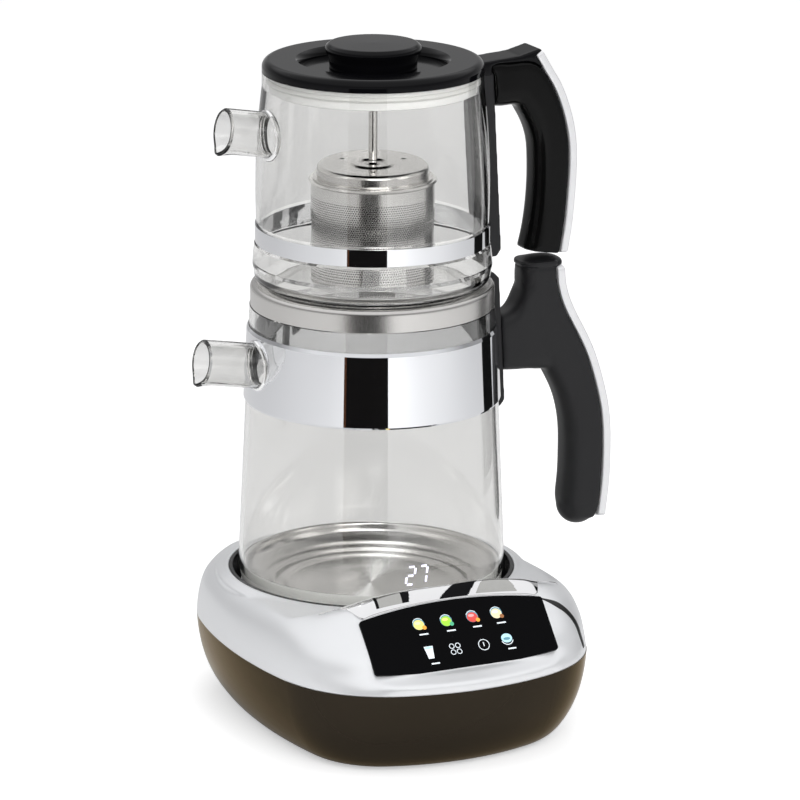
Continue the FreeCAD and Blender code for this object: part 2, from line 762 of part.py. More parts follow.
column = cover_column("cover_column", 0, dim.seam_z)
roof_side = dim.base_side_reach * 1.1
roof_drop = dim.roof_radius - (dim.roof_radius ** 2 - roof_side ** 2) ** 0.5
roof = padded("roof_tool", "XZ_Plane",
              [(-roof_side, dim.roof_z - roof_drop), (-roof_side, high), (roof_side, high),
               (roof_side, dim.roof_z - roof_drop)],
              {3: dim.roof_radius}, far, None, True)
deck = padded("deck_tool", "YZ_Plane",
              [(far, dim.deck_z), (far, high), (-dim.deck_slope_y, high),
               (-dim.deck_slope_y, dim.deck_slope_z), (-dim.deck_front_y, dim.deck_z)],
              None, far, None, True)
dish = new_body("dish_tool")
dish_foot = new_sketch(dish, "XY_Plane", "dish_foot", dim.dish_z)
oval(dish_foot, dim.dish_front_reach, dim.base_back_reach * 1.3, dim.base_side_reach * 1.15, RIDGE_RADII)
dish_head = new_sketch(dish, "XY_Plane", "dish_head", dim.crown_z)
oval(dish_head, dim.ridge_back_reach, dim.base_back_reach * 1.3, dim.base_side_reach * 1.15, RIDGE_RADII)
lofted(dish, "dish_loft", [dish_foot, dish_head], True)

shave_side = dim.panel_half_width + dim.fascia_bow
shave_foot = (dim.ledge_z - dim.fascia_z) / sine(tilt) - dim.fascia_bow
shave = slope_tool("fascia_face",
                   [(-shave_side, shave_foot), (shave_side, shave_foot),
                    (shave_side, dim.panel_half_width), (-shave_side, dim.panel_half_width)],
                   None, 0, dim.fascia_y)
cover_form = cut("cover_form", column, roof, deck, dish, shave)
cover_lowered = grouped("cover_lowered", [cover_form])
bind(cover_lowered, "Placement.Base.z", -dim.arch_thickness)


def panel_outline(grow):
    """Corners and arcs of the control glass, grown outwards all round."""
    side = dim.panel_half_width + grow
    inner = dim.panel_half_width - dim.panel_corner + grow
    foot = dim.panel_foot_u + grow
    head = dim.panel_head_u + grow
    corner = dim.panel_corner
    points = [(-inner, -foot), (inner, -foot), (side, corner - foot), (side, head - corner),
              (inner, head), (-inner, head), (-side, head - corner), (-side, corner - foot)]
    arcs = {0: dim.panel_foot_radius, 1: corner, 3: corner, 4: dim.panel_head_radius, 5: corner,
            7: corner}
    return points, arcs


def skin_piece(name, points, arcs):
    """Piece of the cover's outer skin inside a plan outline, as thick as the lowered copy leaves."""
    prism = padded(name + "_plan", "XY_Plane", points, arcs, high, dim.ledge_z)
    return cut(name, common(name + "_slab", cover_form, prism), cover_lowered)


# Bright crescent that wraps from the top of the glass over the crest to the edge of the dish.
arch_foot = -(dim.fascia_y - (dim.panel_head_u + 1.0) * cosine(tilt))
arch_side = dim.panel_half_width
arch_skin = skin_piece("arch_skin",
                       [(-arch_side, arch_foot), (arch_side, arch_foot),
                        (dim.arch_tip_x, arch_foot + 14), (dim.arch_tip_x, -dim.dish_front_reach + 8),
                        (-dim.arch_tip_x, -dim.dish_front_reach + 8), (-dim.arch_tip_x, arch_foot + 14)],
                       {0: -dim.panel_head_radius * 1.4})
# Dark inlay that leaves the glass's upper right corner and runs down the shoulder to the seam.
trim_edges = ([], [])
for k in range(len(TRIM_PATH)):
    half = dim.side_trim_width * (0.15 if k == 0 else 0.5)
    x = dim.base_side_reach * getattr(dim, "trim_side_share_%d" % k)
    y = -dim.fascia_y * getattr(dim, "trim_front_share_%d" % k)
    trim_edges[0].append((x, y - half))
    trim_edges[1].insert(0, (x, y + half))
trim_points = trim_edges[0] + trim_edges[1]
trim_plan = padded("trim_plan", "XY_Plane", trim_points, None, high, dim.seam_z)
trim_core = cover_column("trim_core", dim.side_trim_depth, dim.seam_z)
trim_skin = cut("trim_skin", common("trim_slab", cover_form, trim_plan), trim_core, arch_skin)

points, arcs = panel_outline(dim.joint_gap)
recess = slope_tool("panel_recess", points, arcs, -dim.panel_thickness - dim.joint_gap,
                    dim.panel_thickness * 4)
half_w, half_h = dim.board_half_width + 1, dim.board_half_height + 1
window = slope_tool("panel_window", [(-half_w, -half_h), (half_w, -half_h), (half_w, half_h),
                                     (-half_w, half_h)],
                    None, -dim.panel_thickness * 5, dim.panel_thickness * 6)
cavity_column = cover_column("cavity_column", dim.cover_wall, dim.seam_z - 1)
cavity_top = box("cavity_top", (far, far, high), -dim.base_front_reach, -dim.base_front_reach,
                 dim.deck_z - dim.cover_wall)
cavity_front = slope_tool("cavity_front", [(-far, -far), (far, -far), (far, far), (-far, far)],
                          None, -dim.panel_thickness - dim.cover_wall, dim.base_front_reach)
cavity = cut("cover_cavity", cavity_column, cavity_top, cavity_front)
well_lip = turned("well_lip",
                  [(dim.well_radius - 1, dim.deck_z - dim.cover_wall),
                   (dim.well_radius + dim.well_lip, dim.deck_z - dim.cover_wall),
                   (dim.well_radius + dim.well_lip, dim.deck_z),
                   (dim.well_radius + 1, dim.well_rim_z), (dim.well_radius - 1, dim.well_rim_z)])
well_bore = cylinder("well_bore", dim.well_radius, high, 0, 0, 0)
cover_lipped = joined("cover_lipped", cover_form, well_lip)
finish(cut("cover_cut", cover_lipped, well_bore, cavity, recess, window, arch_skin, trim_skin),
       "top_cover")
finish(cut("arch_piece", arch_skin, well_bore), "chrome_arch")
finish(grouped("trim_piece", [trim_skin]), "side_trim")

# ---------------------------------------------------------------- control glass and its board


def on_fascia(item, label):
    return finish(item, label, 0, -dim.fascia_y, dim.fascia_z, tilt)


points, arcs = panel_outline(0)
on_fascia(padded("panel_glass", "XY_Plane", points, arcs, dim.panel_thickness,
                 -dim.panel_thickness), "panel_glass")
on_fascia(padded("touch_board", "XY_Plane",
                 [(-dim.board_half_width, -dim.board_half_height),
                  (dim.board_half_width, -dim.board_half_height),
                  (dim.board_half_width, dim.board_half_height),
                  (-dim.board_half_width, dim.board_half_height)],
                 None, dim.board_thickness, -dim.panel_thickness - dim.joint_gap - dim.board_thickness),
          "touch_board")

# ---------------------------------------------------------------- well liner, connector, board

liner_out = dim.well_radius - dim.joint_gap
liner_in = liner_out - dim.liner_wall
flange_out = dim.well_radius + dim.liner_flange
flange_top = dim.deck_z - dim.cover_wall - dim.joint_gap
liner_top = dim.well_rim_z - dim.seat_gap
liner_cup = turned("liner_cup",
                   [(dim.plug_radius - 1, dim.liner_floor_z - dim.liner_wall),
                    (liner_out - 3, dim.liner_floor_z - dim.liner_wall),
                    (liner_out, dim.liner_floor_z - dim.liner_wall + 3),
                    (liner_out, flange_top - dim.liner_wall), (flange_out, flange_top - dim.liner_wall),
                    (flange_out, flange_top), (liner_out, flange_top), (liner_out, liner_top),
                    (liner_in, liner_top), (liner_in, dim.liner_floor_z + 2),
                    (liner_in - 2, dim.liner_floor_z), (dim.plug_radius - 1, dim.liner_floor_z)],
                   {1: 3, 9: -2})
posts = [cylinder("liner_post_%d" % k, dim.post_radius,
                  dim.liner_floor_z - dim.bowl_bottom_z - dim.bowl_wall - dim.liner_wall * 0.5, x, y,
                  dim.bowl_bottom_z + dim.bowl_wall)
         for k, (x, y) in enumerate(screw_places)]
post_bores = [cylinder("post_bore_%d" % k, dim.screw_radius + dim.fit_gap, dim.screw_length, x, y,
                       dim.bowl_bottom_z + dim.bowl_wall)
              for k, (x, y) in enumerate(screw_places)]
finish(cut("well_liner", joined("liner_body", liner_cup, *posts), *post_bores), "well_liner")

plug_in = dim.plug_socket_radius
plug_root = dim.liner_floor_z - dim.liner_wall * 4
finish(turned("coupler_base",
              [(0, plug_root), (dim.plug_radius - 1.2, plug_root),
               (dim.plug_radius - 1.2, dim.liner_floor_z), (dim.plug_flange_radius, dim.liner_floor_z),
               (dim.plug_flange_radius, dim.liner_floor_z + 1), (dim.plug_radius, dim.liner_floor_z + 1.4),
               (dim.plug_radius, dim.plug_top_z - 1), (dim.plug_radius - 1, dim.plug_top_z),
               (plug_in * 2.6, dim.plug_top_z), (plug_in * 2.6, dim.plug_top_z - 4),
               (plug_in * 2.1, dim.plug_top_z - 4), (plug_in * 2.1, dim.plug_top_z),
               (plug_in, dim.plug_top_z), (plug_in, dim.liner_floor_z), (1.5, dim.liner_floor_z),
               (1.5, dim.plug_top_z - 0.8), (0, dim.plug_top_z - 0.4)]), "coupler_base")

board = box("power_board_plate", (dim.board_length, dim.board_width, dim.board_thickness),
            -dim.board_length / 2, -dim.board_width / 2, dim.board_z)
chips = [box("relay_%d" % k, (dim.relay_length, dim.relay_width, dim.relay_height),
             dim.relay_pitch * k - dim.board_length * 0.36, -dim.relay_width * 0.66,
             dim.board_z + dim.board_thickness)
         for k in range(3)]
legs = [cylinder("board_leg_%d" % k, 2.5, dim.board_z - dim.bowl_bottom_z - dim.bowl_wall,
                 sx * (dim.board_length / 2 - 5), sy * (dim.board_width / 2 - 5),
                 dim.bowl_bottom_z + dim.bowl_wall)
        for k, (sx, sy) in enumerate(((-1, -1), (1, -1), (1, 1), (-1, 1)))]
finish(joined("power_board", board, *chips, *legs), "power_board")

# ---------------------------------------------------------------- kettle shell


def kettle_radius(z, grow=0):
    """Outer radius of the straight taper of the kettle's glass at a height."""
    slope = (dim.kettle_bulge_radius - dim.kettle_neck_radius) / (dim.kettle_neck_z - dim.kettle_bulge_z)
    return dim.kettle_bulge_radius - slope * (z - dim.kettle_bulge_z) + grow


def spout(name, root_z, reach, radius, flare, lip):
    """Short tube leaning up from the axis towards -X; its length is set by its reach."""
    tilt_angle = dim.spout_tilt
    length = (reach - radius * sine(tilt_angle)) / cosine(tilt_angle)
    body = new_body(name)
    profile = new_sketch(body, "XZ_Plane", name + "_profile")
    root = length * 0.62
    outline(profile, [(0, length * 0.4), (radius + flare, length * 0.4), (radius + flare, root),
                      (radius, root + 9), (radius, length - 1.2), (radius - lip, length),
                      (0, length)],
            {2: -dim.spout_flare_radius} if flare else None)
    turn = body.newObject("PartDesign::Revolution", name + "_turn")
    turn.Profile = profile
    turn.ReferenceAxis = (profile, ["V_Axis"])
    turn.Angle = 360
    body.Placement = FreeCAD.Placement(V(0, 0, 0), FreeCAD.Rotation(V(0, 1, 0), 1.0))
    bind(body, "Placement.Rotation.Angle", tilt_angle - 90)
    locate(body, 0, 0, root_z)
    return body


spout_slope = sine(dim.spout_tilt) / cosine(dim.spout_tilt)
kettle_axis_z = dim.kettle_spout_z - (dim.kettle_neck_radius + 3) * spout_slope
teapot_axis_z = dim.teapot_spout_z - dim.throat_radius * spout_slope
wall = dim.kettle_wall
rim_out = dim.kettle_neck_radius - dim.kettle_rim_step
glass_full = turned("kettle_full",
                    [(0, dim.kettle_foot_z), (dim.kettle_foot_radius, dim.kettle_foot_z),
                     (dim.kettle_bulge_radius, dim.kettle_bulge_z),
                     (dim.kettle_neck_radius, dim.kettle_neck_z),
                     (rim_out, dim.kettle_neck_z + dim.collar_foot_rise * 0.5),
                     (rim_out, dim.kettle_rim_z), (0, dim.kettle_rim_z)],
                    {1: dim.kettle_bulge_curve})
glass_void = turned("kettle_void",
                    [(0, dim.kettle_foot_z - 5), (dim.kettle_foot_radius - wall, dim.kettle_foot_z - 5),
                     (dim.kettle_foot_radius - wall, dim.kettle_foot_z),
                     (dim.kettle_bulge_radius - wall, dim.kettle_bulge_z),
                     (dim.kettle_neck_radius - wall - dim.kettle_rim_step, dim.kettle_neck_z),
                     (dim.kettle_neck_radius - wall - dim.kettle_rim_step, dim.kettle_rim_z + 5),
                     (0, dim.kettle_rim_z + 5)],
                    {2: dim.kettle_bulge_curve})
kettle_tube = spout("kettle_spout", kettle_axis_z, dim.kettle_spout_reach, dim.spout_radius,
                    dim.spout_flare, 0.9)
kettle_bore = spout("kettle_bore", kettle_axis_z, dim.kettle_spout_reach + 4, dim.spout_bore, 0, 0)
finish(cut("kettle_glass_shell", joined("kettle_outside", glass_full, kettle_tube), glass_void,
           kettle_bore), "kettle_glass")

skirt_in = dim.skirt_radius - dim.skirt_wall
skirt_foot = dim.liner_floor_z + dim.seat_gap
seal_z = dim.kettle_foot_z - dim.seal_thickness - dim.joint_gap
hub = dim.plug_flange_radius + 1.5
finish(turned("kettle_skirt",
              [(hub, skirt_foot), (dim.skirt_radius - 2, skirt_foot), (dim.skirt_radius, skirt_foot + 2),
               (dim.skirt_radius, seal_z), (skirt_in, seal_z), (skirt_in, skirt_foot + 3),
               (skirt_in - 1, skirt_foot + 2), (hub, skirt_foot + 2)],
              {1: 2}), "kettle_skirt")
pan_out = dim.kettle_foot_radius - wall - dim.joint_gap * 2
finish(turned("kettle_seal",
              [(dim.pan_ring_radius + 5.2, seal_z + dim.joint_gap / 2),
               (dim.skirt_radius, seal_z + dim.joint_gap / 2),
               (dim.skirt_radius, dim.kettle_foot_z - dim.joint_gap / 2),
               (dim.pan_ring_radius + 5.2, dim.kettle_foot_z - dim.joint_gap / 2)]), "kettle_seal")
thick = dim.pan_thickness
ring_z = dim.pan_top_z - dim.pan_ring_drop
wall_foot = dim.pan_ring_radius + 3
wall_top = dim.kettle_bulge_radius - wall - 1.1
finish(turned("kettle_pan",
              [(0, dim.pan_top_z - thick), (dim.pan_centre_radius - 0.6, dim.pan_top_z - thick),
               (dim.pan_centre_radius + 1.4, ring_z - thick),
               (dim.pan_ring_radius, ring_z - thick), (wall_foot + 0.6, ring_z + 2.6),
               (wall_top - 0.6, dim.pan_wall_top_z - 3), (wall_top + 0.4, dim.pan_wall_top_z - 0.6),
               (wall_top, dim.pan_wall_top_z), (wall_top - 0.9, dim.pan_wall_top_z - 1.4),
               (wall_top - 0.6 - thick, dim.pan_wall_top_z - 3), (wall_foot - 0.3, ring_z + 3.2),
               (dim.pan_ring_radius - 0.4, ring_z), (dim.pan_centre_radius + 2, ring_z),
               (dim.pan_centre_radius, dim.pan_top_z), (0, dim.pan_top_z)],
              {3: 6, 10: -6}), "kettle_floor")
disc_top = dim.pan_top_z - thick - dim.joint_gap
disc_foot = disc_top - dim.element_disc_thickness
disc = turned("element_disc",
              [(0, disc_foot), (dim.element_disc_radius, disc_foot),
               (dim.element_disc_radius, disc_top), (0, disc_top)])
coil = doc.addObject("Part::Torus", "element_coil")
bind(coil, "Radius1", dim.element_radius)
bind(coil, "Radius2", dim.element_tube)
locate(coil, 0, 0, disc_foot - dim.element_tube * 0.8)
finish(joined("element", disc, coil), "heating_element")
socket_foot = dim.liner_floor_z + 2.4
finish(turned("kettle_coupler",
              [(dim.plug_radius + dim.seat_gap, socket_foot), (dim.socket_radius, socket_foot),
               (dim.socket_radius, disc_foot - dim.joint_gap),
               (dim.plug_radius + dim.seat_gap, disc_foot - dim.joint_gap)]), "kettle_coupler")

# ---------------------------------------------------------------- kettle trim

band_gap = dim.joint_gap
band_out = dim.band_thickness + band_gap
band_full = turned("kettle_band_ring",
                   [(kettle_radius(dim.band_foot_z, band_gap), dim.band_foot_z),
                    (kettle_radius(dim.band_foot_z, band_out - 0.5), dim.band_foot_z),
                    (kettle_radius(dim.band_foot_z, band_out), dim.band_foot_z + 1),
                    (kettle_radius(dim.band_head_z, band_out), dim.band_head_z - 2),
                    (kettle_radius(dim.band_head_z, band_out - 1), dim.band_head_z),
                    (kettle_radius(dim.band_head_z, band_gap), dim.band_head_z)])
spout_clear = spout("kettle_spout_clearance", kettle_axis_z, dim.kettle_spout_reach,
                    dim.spout_radius + dim.mount_clearance, dim.spout_flare, 0)
finish(cut("kettle_band_cut", band_full, spout_clear), "kettle_band")

shoulder = dim.collar_shoulder
skin = dim.collar_thickness
collar_top = dim.collar_top_z
collar_in = dim.collar_radius - skin
finish(turned("kettle_collar_ring",
              [(collar_in, dim.collar_foot_z), (dim.collar_radius, dim.collar_foot_z),
               (dim.collar_radius, collar_top - shoulder), (dim.collar_radius - shoulder, collar_top),
               (dim.collar_mouth + 2, collar_top), (dim.collar_mouth, collar_top - 2),
               (dim.collar_mouth, collar_top - dim.collar_lip),
               (dim.collar_mouth + skin, collar_top - dim.collar_lip),
               (dim.collar_mouth + skin, collar_top - 2), (dim.collar_mouth + 2, collar_top - skin),
               (dim.collar_radius - shoulder, collar_top - skin), (collar_in, collar_top - shoulder)],
              {2: shoulder, 4: 2, 8: skin - 2, 10: skin - shoulder}), "kettle_collar")

# ---------------------------------------------------------------- teapot

pot_foot = dim.teapot_foot_z
pot_floor = pot_foot + dim.teapot_floor
tw = dim.teapot_wall
heel = dim.heel_round
pot_full = turned("teapot_full",
                  [(0, pot_foot), (dim.heel_radius - heel, pot_foot), (dim.heel_radius, pot_foot + heel),
                   (dim.bulge_radius, dim.bulge_z),
                   (dim.groove_shoulder_foot, dim.groove_foot_z - 1), (dim.groove_radius, dim.groove_foot_z),
                   (dim.groove_radius, dim.groove_head_z),
                   (dim.groove_shoulder_head, dim.groove_head_z + 1.4), (dim.throat_radius, dim.throat_z),
                   (dim.throat_radius, dim.teapot_rim_z), (0, dim.teapot_rim_z)],
                  {1: heel, 3: dim.bulge_curve_radius, 7: dim.taper_curve_radius})
pot_void = turned("teapot_void",
                  [(0, pot_floor), (dim.heel_radius - heel, pot_floor),
                   (dim.heel_radius - tw, pot_floor + heel - 2), (dim.bulge_radius - tw, dim.bulge_z + 2),
                   (dim.groove_radius - tw, dim.groove_foot_z), (dim.groove_radius - tw, dim.groove_head_z),
                   (dim.throat_radius - tw, dim.throat_z), (dim.throat_radius - tw, dim.teapot_rim_z + 5),
                   (0, dim.teapot_rim_z + 5)],
                  {1: heel})
pot_tube = spout("teapot_spout", teapot_axis_z, dim.teapot_spout_reach, dim.spout_radius,
                 dim.spout_flare, 0.9)
pot_bore = spout("teapot_bore", teapot_axis_z, dim.teapot_spout_reach + 4, dim.spout_bore, 0, 0)
finish(cut("teapot_glass_shell", joined("teapot_outside", pot_full, pot_tube), pot_void, pot_bore),
       "teapot_glass")
belt = dim.groove_radius + band_gap
finish(turned("teapot_belt",
              [(belt, dim.groove_foot_z + 0.5), (belt + dim.teapot_band_thickness, dim.groove_foot_z + 0.5),
               (belt + dim.teapot_band_thickness, dim.groove_head_z - 0.5),
               (belt, dim.groove_head_z - 0.5)]), "teapot_band")

# ---------------------------------------------------------------- lid

lid_foot = dim.teapot_rim_z + dim.seat_gap
lid_top = dim.lid_top_z
edge = dim.lid_edge_round
recess_z = lid_top - dim.lid_recess_depth
lid_r = dim.throat_radius
finish(turned("lid_shell",
              [(0, recess_z - dim.lid_wall), (dim.lid_recess_inner, recess_z - dim.lid_wall),
               (dim.lid_recess_outer + dim.lid_wall, lid_top - dim.lid_wall),
               (lid_r - edge, lid_top - dim.lid_wall), (lid_r - dim.lid_wall, lid_top - edge),
               (lid_r - dim.lid_wall, lid_foot), (lid_r, lid_foot), (lid_r, lid_top - edge),
               (lid_r - edge, lid_top), (dim.lid_recess_outer, lid_top),
               (dim.lid_recess_inner, recess_z), (0, recess_z)],
              {7: edge, 9: 6, 3: dim.lid_wall - edge}), "lid_cap")
neck_z = dim.knob_top_z - dim.knob_edge * 2
finish(turned("lid_knob_turned",
              [(0, recess_z + dim.joint_gap), (dim.knob_neck_radius, recess_z + dim.joint_gap),
               (dim.knob_neck_radius - 1, neck_z - 3), (dim.knob_radius, neck_z),
               (dim.knob_radius, dim.knob_top_z - dim.knob_edge),
               (dim.knob_radius - dim.knob_edge, dim.knob_top_z), (0, dim.knob_top_z)],
              {2: 5, 4: dim.knob_edge}), "lid_knob")
collar_r = dim.lid_collar_radius
sleeve_in = collar_r - dim.lid_collar_wall
collar_foot = lid_foot - dim.lid_collar_depth
gasket_z = lid_foot - dim.lid_gasket_depth - 1
finish(turned("lid_sleeve",
              [(sleeve_in, collar_foot), (collar_r - 0.5, collar_foot), (collar_r, collar_foot + 0.5),
               (collar_r, gasket_z - 1.6), (collar_r - 0.7, gasket_z - 1.6),
               (collar_r - 0.7, gasket_z + 1.6), (collar_r, gasket_z + 1.6),
               (collar_r, lid_top - edge - 1), (sleeve_in, lid_top - edge - 1)]), "lid_collar")
finish(turned("lid_ring",
              [(collar_r - 0.6, gasket_z - 1.5), (collar_r + 0.6, gasket_z - 1.5),
               (dim.throat_radius - tw - dim.joint_gap, gasket_z), (collar_r + 0.6, gasket_z + 1.5),
               (collar_r - 0.6, gasket_z + 1.5)]), "lid_gasket")

# ---------------------------------------------------------------- infuser

ir = dim.infuser_radius
iw = dim.infuser_wall
basket_foot = dim.basket_foot_z
ih = dim.infuser_heel
rim_z = dim.infuser_rim_z
neck = dim.cap_radius + 0.8
finish(turned("infuser_shell",
              [(0, basket_foot), (ir - ih, basket_foot), (ir, basket_foot + ih),
               (ir, dim.sleeve_foot_z), (dim.sleeve_radius, dim.sleeve_foot_z + 0.6),
               (dim.sleeve_radius, rim_z - 2), (dim.infuser_rim_radius, rim_z - 1),
               (dim.infuser_rim_radius - 0.8, rim_z), (neck, rim_z), (neck, rim_z - iw),
               (dim.sleeve_radius - iw, rim_z - 2), (dim.sleeve_radius - iw, dim.sleeve_foot_z + 1),
               (ir - iw, dim.sleeve_foot_z), (ir - iw, basket_foot + ih),
               (ir - ih, basket_foot + iw), (0, basket_foot + iw)],
              {1: ih, 13: iw - ih}), "infuser_basket")
cr = dim.cap_radius
ct = dim.cap_thickness
cap_full = turned("infuser_cap_turned",
                  [(0, dim.cap_top_z - ct), (cr - dim.cap_edge, dim.cap_top_z - ct),
                   (cr - ct, dim.cap_top_z - dim.cap_edge), (cr - ct, rim_z - dim.cap_plug_depth),
                   (cr, rim_z - dim.cap_plug_depth), (cr, rim_z + dim.fit_gap),
                   (cr + 2.4, rim_z + dim.fit_gap), (cr + 2.4, rim_z + 0.9), (cr, rim_z + 0.9),
                   (cr, dim.cap_top_z - dim.cap_edge),
                   (cr - dim.cap_edge, dim.cap_top_z), (13.5, dim.cap_top_z), (12.5, dim.cap_top_z + 0.8),
                   (8, dim.cap_top_z + 0.8), (7, dim.cap_top_z), (0, dim.cap_top_z)],
                  {9: dim.cap_edge})
cap_tools = []
for k in range(3):
    angle = math.radians(-25 - 90 + 120 * k)
    cap_tools.append(cylinder("cap_hole_%d" % k, dim.cap_hole_radius, dim.cap_edge * 4,
                              dim.cap_hole_circle * math.cos(angle), dim.cap_hole_circle * math.sin(angle),
                              dim.cap_top_z - dim.cap_edge * 2))
finish(cut("infuser_cap_bored", cap_full, *cap_tools), "infuser_cap")
rod_foot = dim.cap_top_z + dim.joint_gap
finish(turned("infuser_stem",
              [(0, rod_foot), (dim.rod_radius + 1.6, rod_foot), (dim.rod_radius, rod_foot + 1.6),
               (dim.rod_radius, dim.rod_top_z - 1), (dim.rod_radius - 1, dim.rod_top_z),
               (0, dim.rod_top_z)],
              {1: -1.6, 3: 1}), "infuser_rod")

# ---------------------------------------------------------------- handles


def at(grip, what, k):
    return getattr(dim, "%s_%s_%d" % (grip, what, k))


HANDLE_LIMITS = {
    "kettle_grip": (dim.kettle_mount_head_x, dim.kettle_grip_reach, dim.collar_top_z),
    "teapot_grip": (dim.teapot_mount_head_x, dim.teapot_grip_reach, dim.teapot_rim_z),
}


def grip_back(grip, k):
    """Distance from the axis of a grip's back face at a station."""
    mount_x, reach, top_z = HANDLE_LIMITS[grip]
    return mount_x + (reach - mount_x) * at(grip, "share", k) - dim.strip_thickness - dim.joint_gap


def grip_level(grip, k):
    return HANDLE_LIMITS[grip][2] - at(grip, "drop", k)


def station(body, name, grip, k, points, arcs=None):
    """Sketch across a grip: local x runs outwards from the back face, local y across."""
    sketch = new_sketch(body, "XY_Plane", name)
    sketch.AttachmentOffset = FreeCAD.Placement(V(0, 0, 0), FreeCAD.Rotation(V(0, 1, 0), 1.0))
    bind(sketch, "AttachmentOffset.Base.x", grip_back(grip, k))
    bind(sketch, "AttachmentOffset.Base.z", grip_level(grip, k))
    bind(sketch, "AttachmentOffset.Rotation.Angle", -at(grip, "lean", k))
    outline(sketch, points, arcs)
    return sketch


def grip_section(grip, k):
    """Rounded inner side, flat flanks, flat back with eased edges."""
    half = at(grip, "half_width", k)
    depth = at(grip, "depth", k)
    ease = half * 0.13
    bend = half * 0.78
    points = [(0, ease - half), (0, half - ease), (-ease, half), (bend - depth, half),
              (-depth, half - bend), (-depth, bend - half), (bend - depth, -half), (-ease, -half)]
    return points, {1: ease, 3: bend, 5: bend, 7: ease}


def strip_section(grip, k):
    """Shallow crowned strip standing on the back face."""
    half = at(grip, "half_width", k) * (dim.strip_half_width / dim.grip_half_width)
    edge_x = dim.strip_thickness + dim.joint_gap - half * 0.1
    points = [(dim.strip_gap, -half), (edge_x - 1, -half), (edge_x, 1 - half), (edge_x, half - 1),
              (edge_x - 1, half), (dim.strip_gap, half)]
    return points, {1: 1, 2: half * 5, 3: 1}


def grip_loft(name, grip, count, section):
    body = new_body(name)
    sketches = []
    for k in range(count):
        points, arcs = section(grip, k)
        sketches.append(station(body, "%s_%d" % (name, k), grip, k, points, arcs))
    lofted(body, name + "_loft", sketches)
    return body


def across(name, x, foot, head, half, body):
    """Rounded upright section of the arm at a distance from the axis."""
    sketch = new_sketch(body, "YZ_Plane", name, x)
    bend = half * 0.7
    points = [(bend - half, foot), (half - bend, foot), (half, foot + bend), (half, head - bend),
              (half - bend, head), (bend - half, head), (-half, head - bend), (-half, foot + bend)]
    outline(sketch, points, {1: bend, 3: bend, 5: bend, 7: bend})
    return sketch


kettle_stem = grip_loft("kettle_stem", "kettle_grip", len(KETTLE_GRIP), grip_section)
arm = new_body("kettle_arm")
arm_sections = []
for k in range(len(KETTLE_ARM)):
    mount_x, reach, top_z = HANDLE_LIMITS["kettle_grip"]
    share, foot_drop, head_drop, half = [at("kettle_arm", what, k) for what in ARM_STATION]
    arm_sections.append(across("kettle_arm_%d" % k, mount_x + (reach - mount_x) * share,
                               top_z - foot_drop, top_z - head_drop, half, arm))
lofted(arm, "kettle_arm_loft", arm_sections)
teapot_stem = grip_loft("teapot_stem", "teapot_grip", len(TEAPOT_GRIP), grip_section)


def mount_bar(name, foot_z, head_z, foot_x, head_x, half_width):
    """Upright bar against the glass; a wider copy of it trims the grip that it carries."""
    inner_x = dim.collar_mouth
    return padded(name, "XZ_Plane",
                  [(inner_x, foot_z), (foot_x - 3, foot_z), (foot_x, foot_z + 4), (head_x, head_z - 4),
                   (head_x - 4, head_z), (inner_x, head_z)],
                  None, half_width * 2, None, True)


gap = dim.mount_clearance
kettle_clear = turned("kettle_clearance",
                      [(0, dim.kettle_foot_z), (kettle_radius(dim.kettle_foot_z, gap), dim.kettle_foot_z),
                       (kettle_radius(dim.band_foot_z, gap), dim.band_foot_z - 1),
                       (kettle_radius(dim.band_foot_z, band_out + gap), dim.band_foot_z - 1),
                       (kettle_radius(dim.band_head_z, band_out + gap), dim.band_head_z + 1),
                       (kettle_radius(dim.band_head_z, gap), dim.band_head_z + 1),
                       (dim.kettle_neck_radius + gap, dim.kettle_neck_z),
                       (dim.kettle_neck_radius + gap, dim.collar_top_z + 5), (0, dim.collar_top_z + 5)])
pot_clear = turned("teapot_clearance",
                   [(0, pot_foot - 5), (dim.bulge_radius + gap, pot_foot - 5),
                    (dim.bulge_radius + gap, dim.bulge_z + 4),
                    (dim.groove_shoulder_foot + gap, dim.groove_foot_z),
                    (dim.groove_shoulder_foot + gap, dim.groove_head_z + 1.4),
                    (dim.throat_radius + gap, dim.throat_z),
                    (dim.throat_radius + gap, dim.teapot_rim_z + 20), (0, dim.teapot_rim_z + 20)],
                   {4: dim.taper_curve_radius})


def handle_screws(name, x, levels, grow):
    """Screws lying along X, heads towards the glass; grow widens and lengthens them for the bores."""
    items = []
    for k, z in enumerate(levels):
        head = cylinder("%s_head_%d" % (name, k), dim.screw_head_radius * 0.8 + grow,
                        dim.screw_head_depth + grow * 4, x - grow * 4, 0, z, (V(0, 1, 0), as_size(90)))
        shank = cylinder("%s_shank_%d" % (name, k), dim.screw_radius + grow,
                         dim.handle_screw_length + grow, x + dim.screw_head_depth, 0, z,
                         (V(0, 1, 0), as_size(90)))
        items.append(joined("%s_%d" % (name, k), head, shank))
    return items


kettle_screw_x = kettle_radius(dim.band_foot_z, band_out + gap) + 0.2
kettle_level = dim.collar_top_z - dim.kettle_screw_drop
kettle_levels = (kettle_level - dim.kettle_screw_pitch, kettle_level)
teapot_screw_x = dim.throat_radius + gap + 1.8
teapot_level = dim.teapot_rim_z - dim.teapot_screw_drop
teapot_levels = (teapot_level - dim.teapot_screw_pitch, teapot_level)
kettle_bores = handle_screws("kettle_bore_tool", kettle_screw_x, kettle_levels, dim.fit_gap)
teapot_bores = handle_screws("teapot_bore_tool", teapot_screw_x, teapot_levels, dim.fit_gap)
finish(grouped("kettle_screws", handle_screws("kettle_screw", kettle_screw_x, kettle_levels, as_size(0))),
       "kettle_handle_screws")
finish(grouped("teapot_screws", handle_screws("teapot_screw", teapot_screw_x, teapot_levels, as_size(0))),
       "teapot_handle_screws")

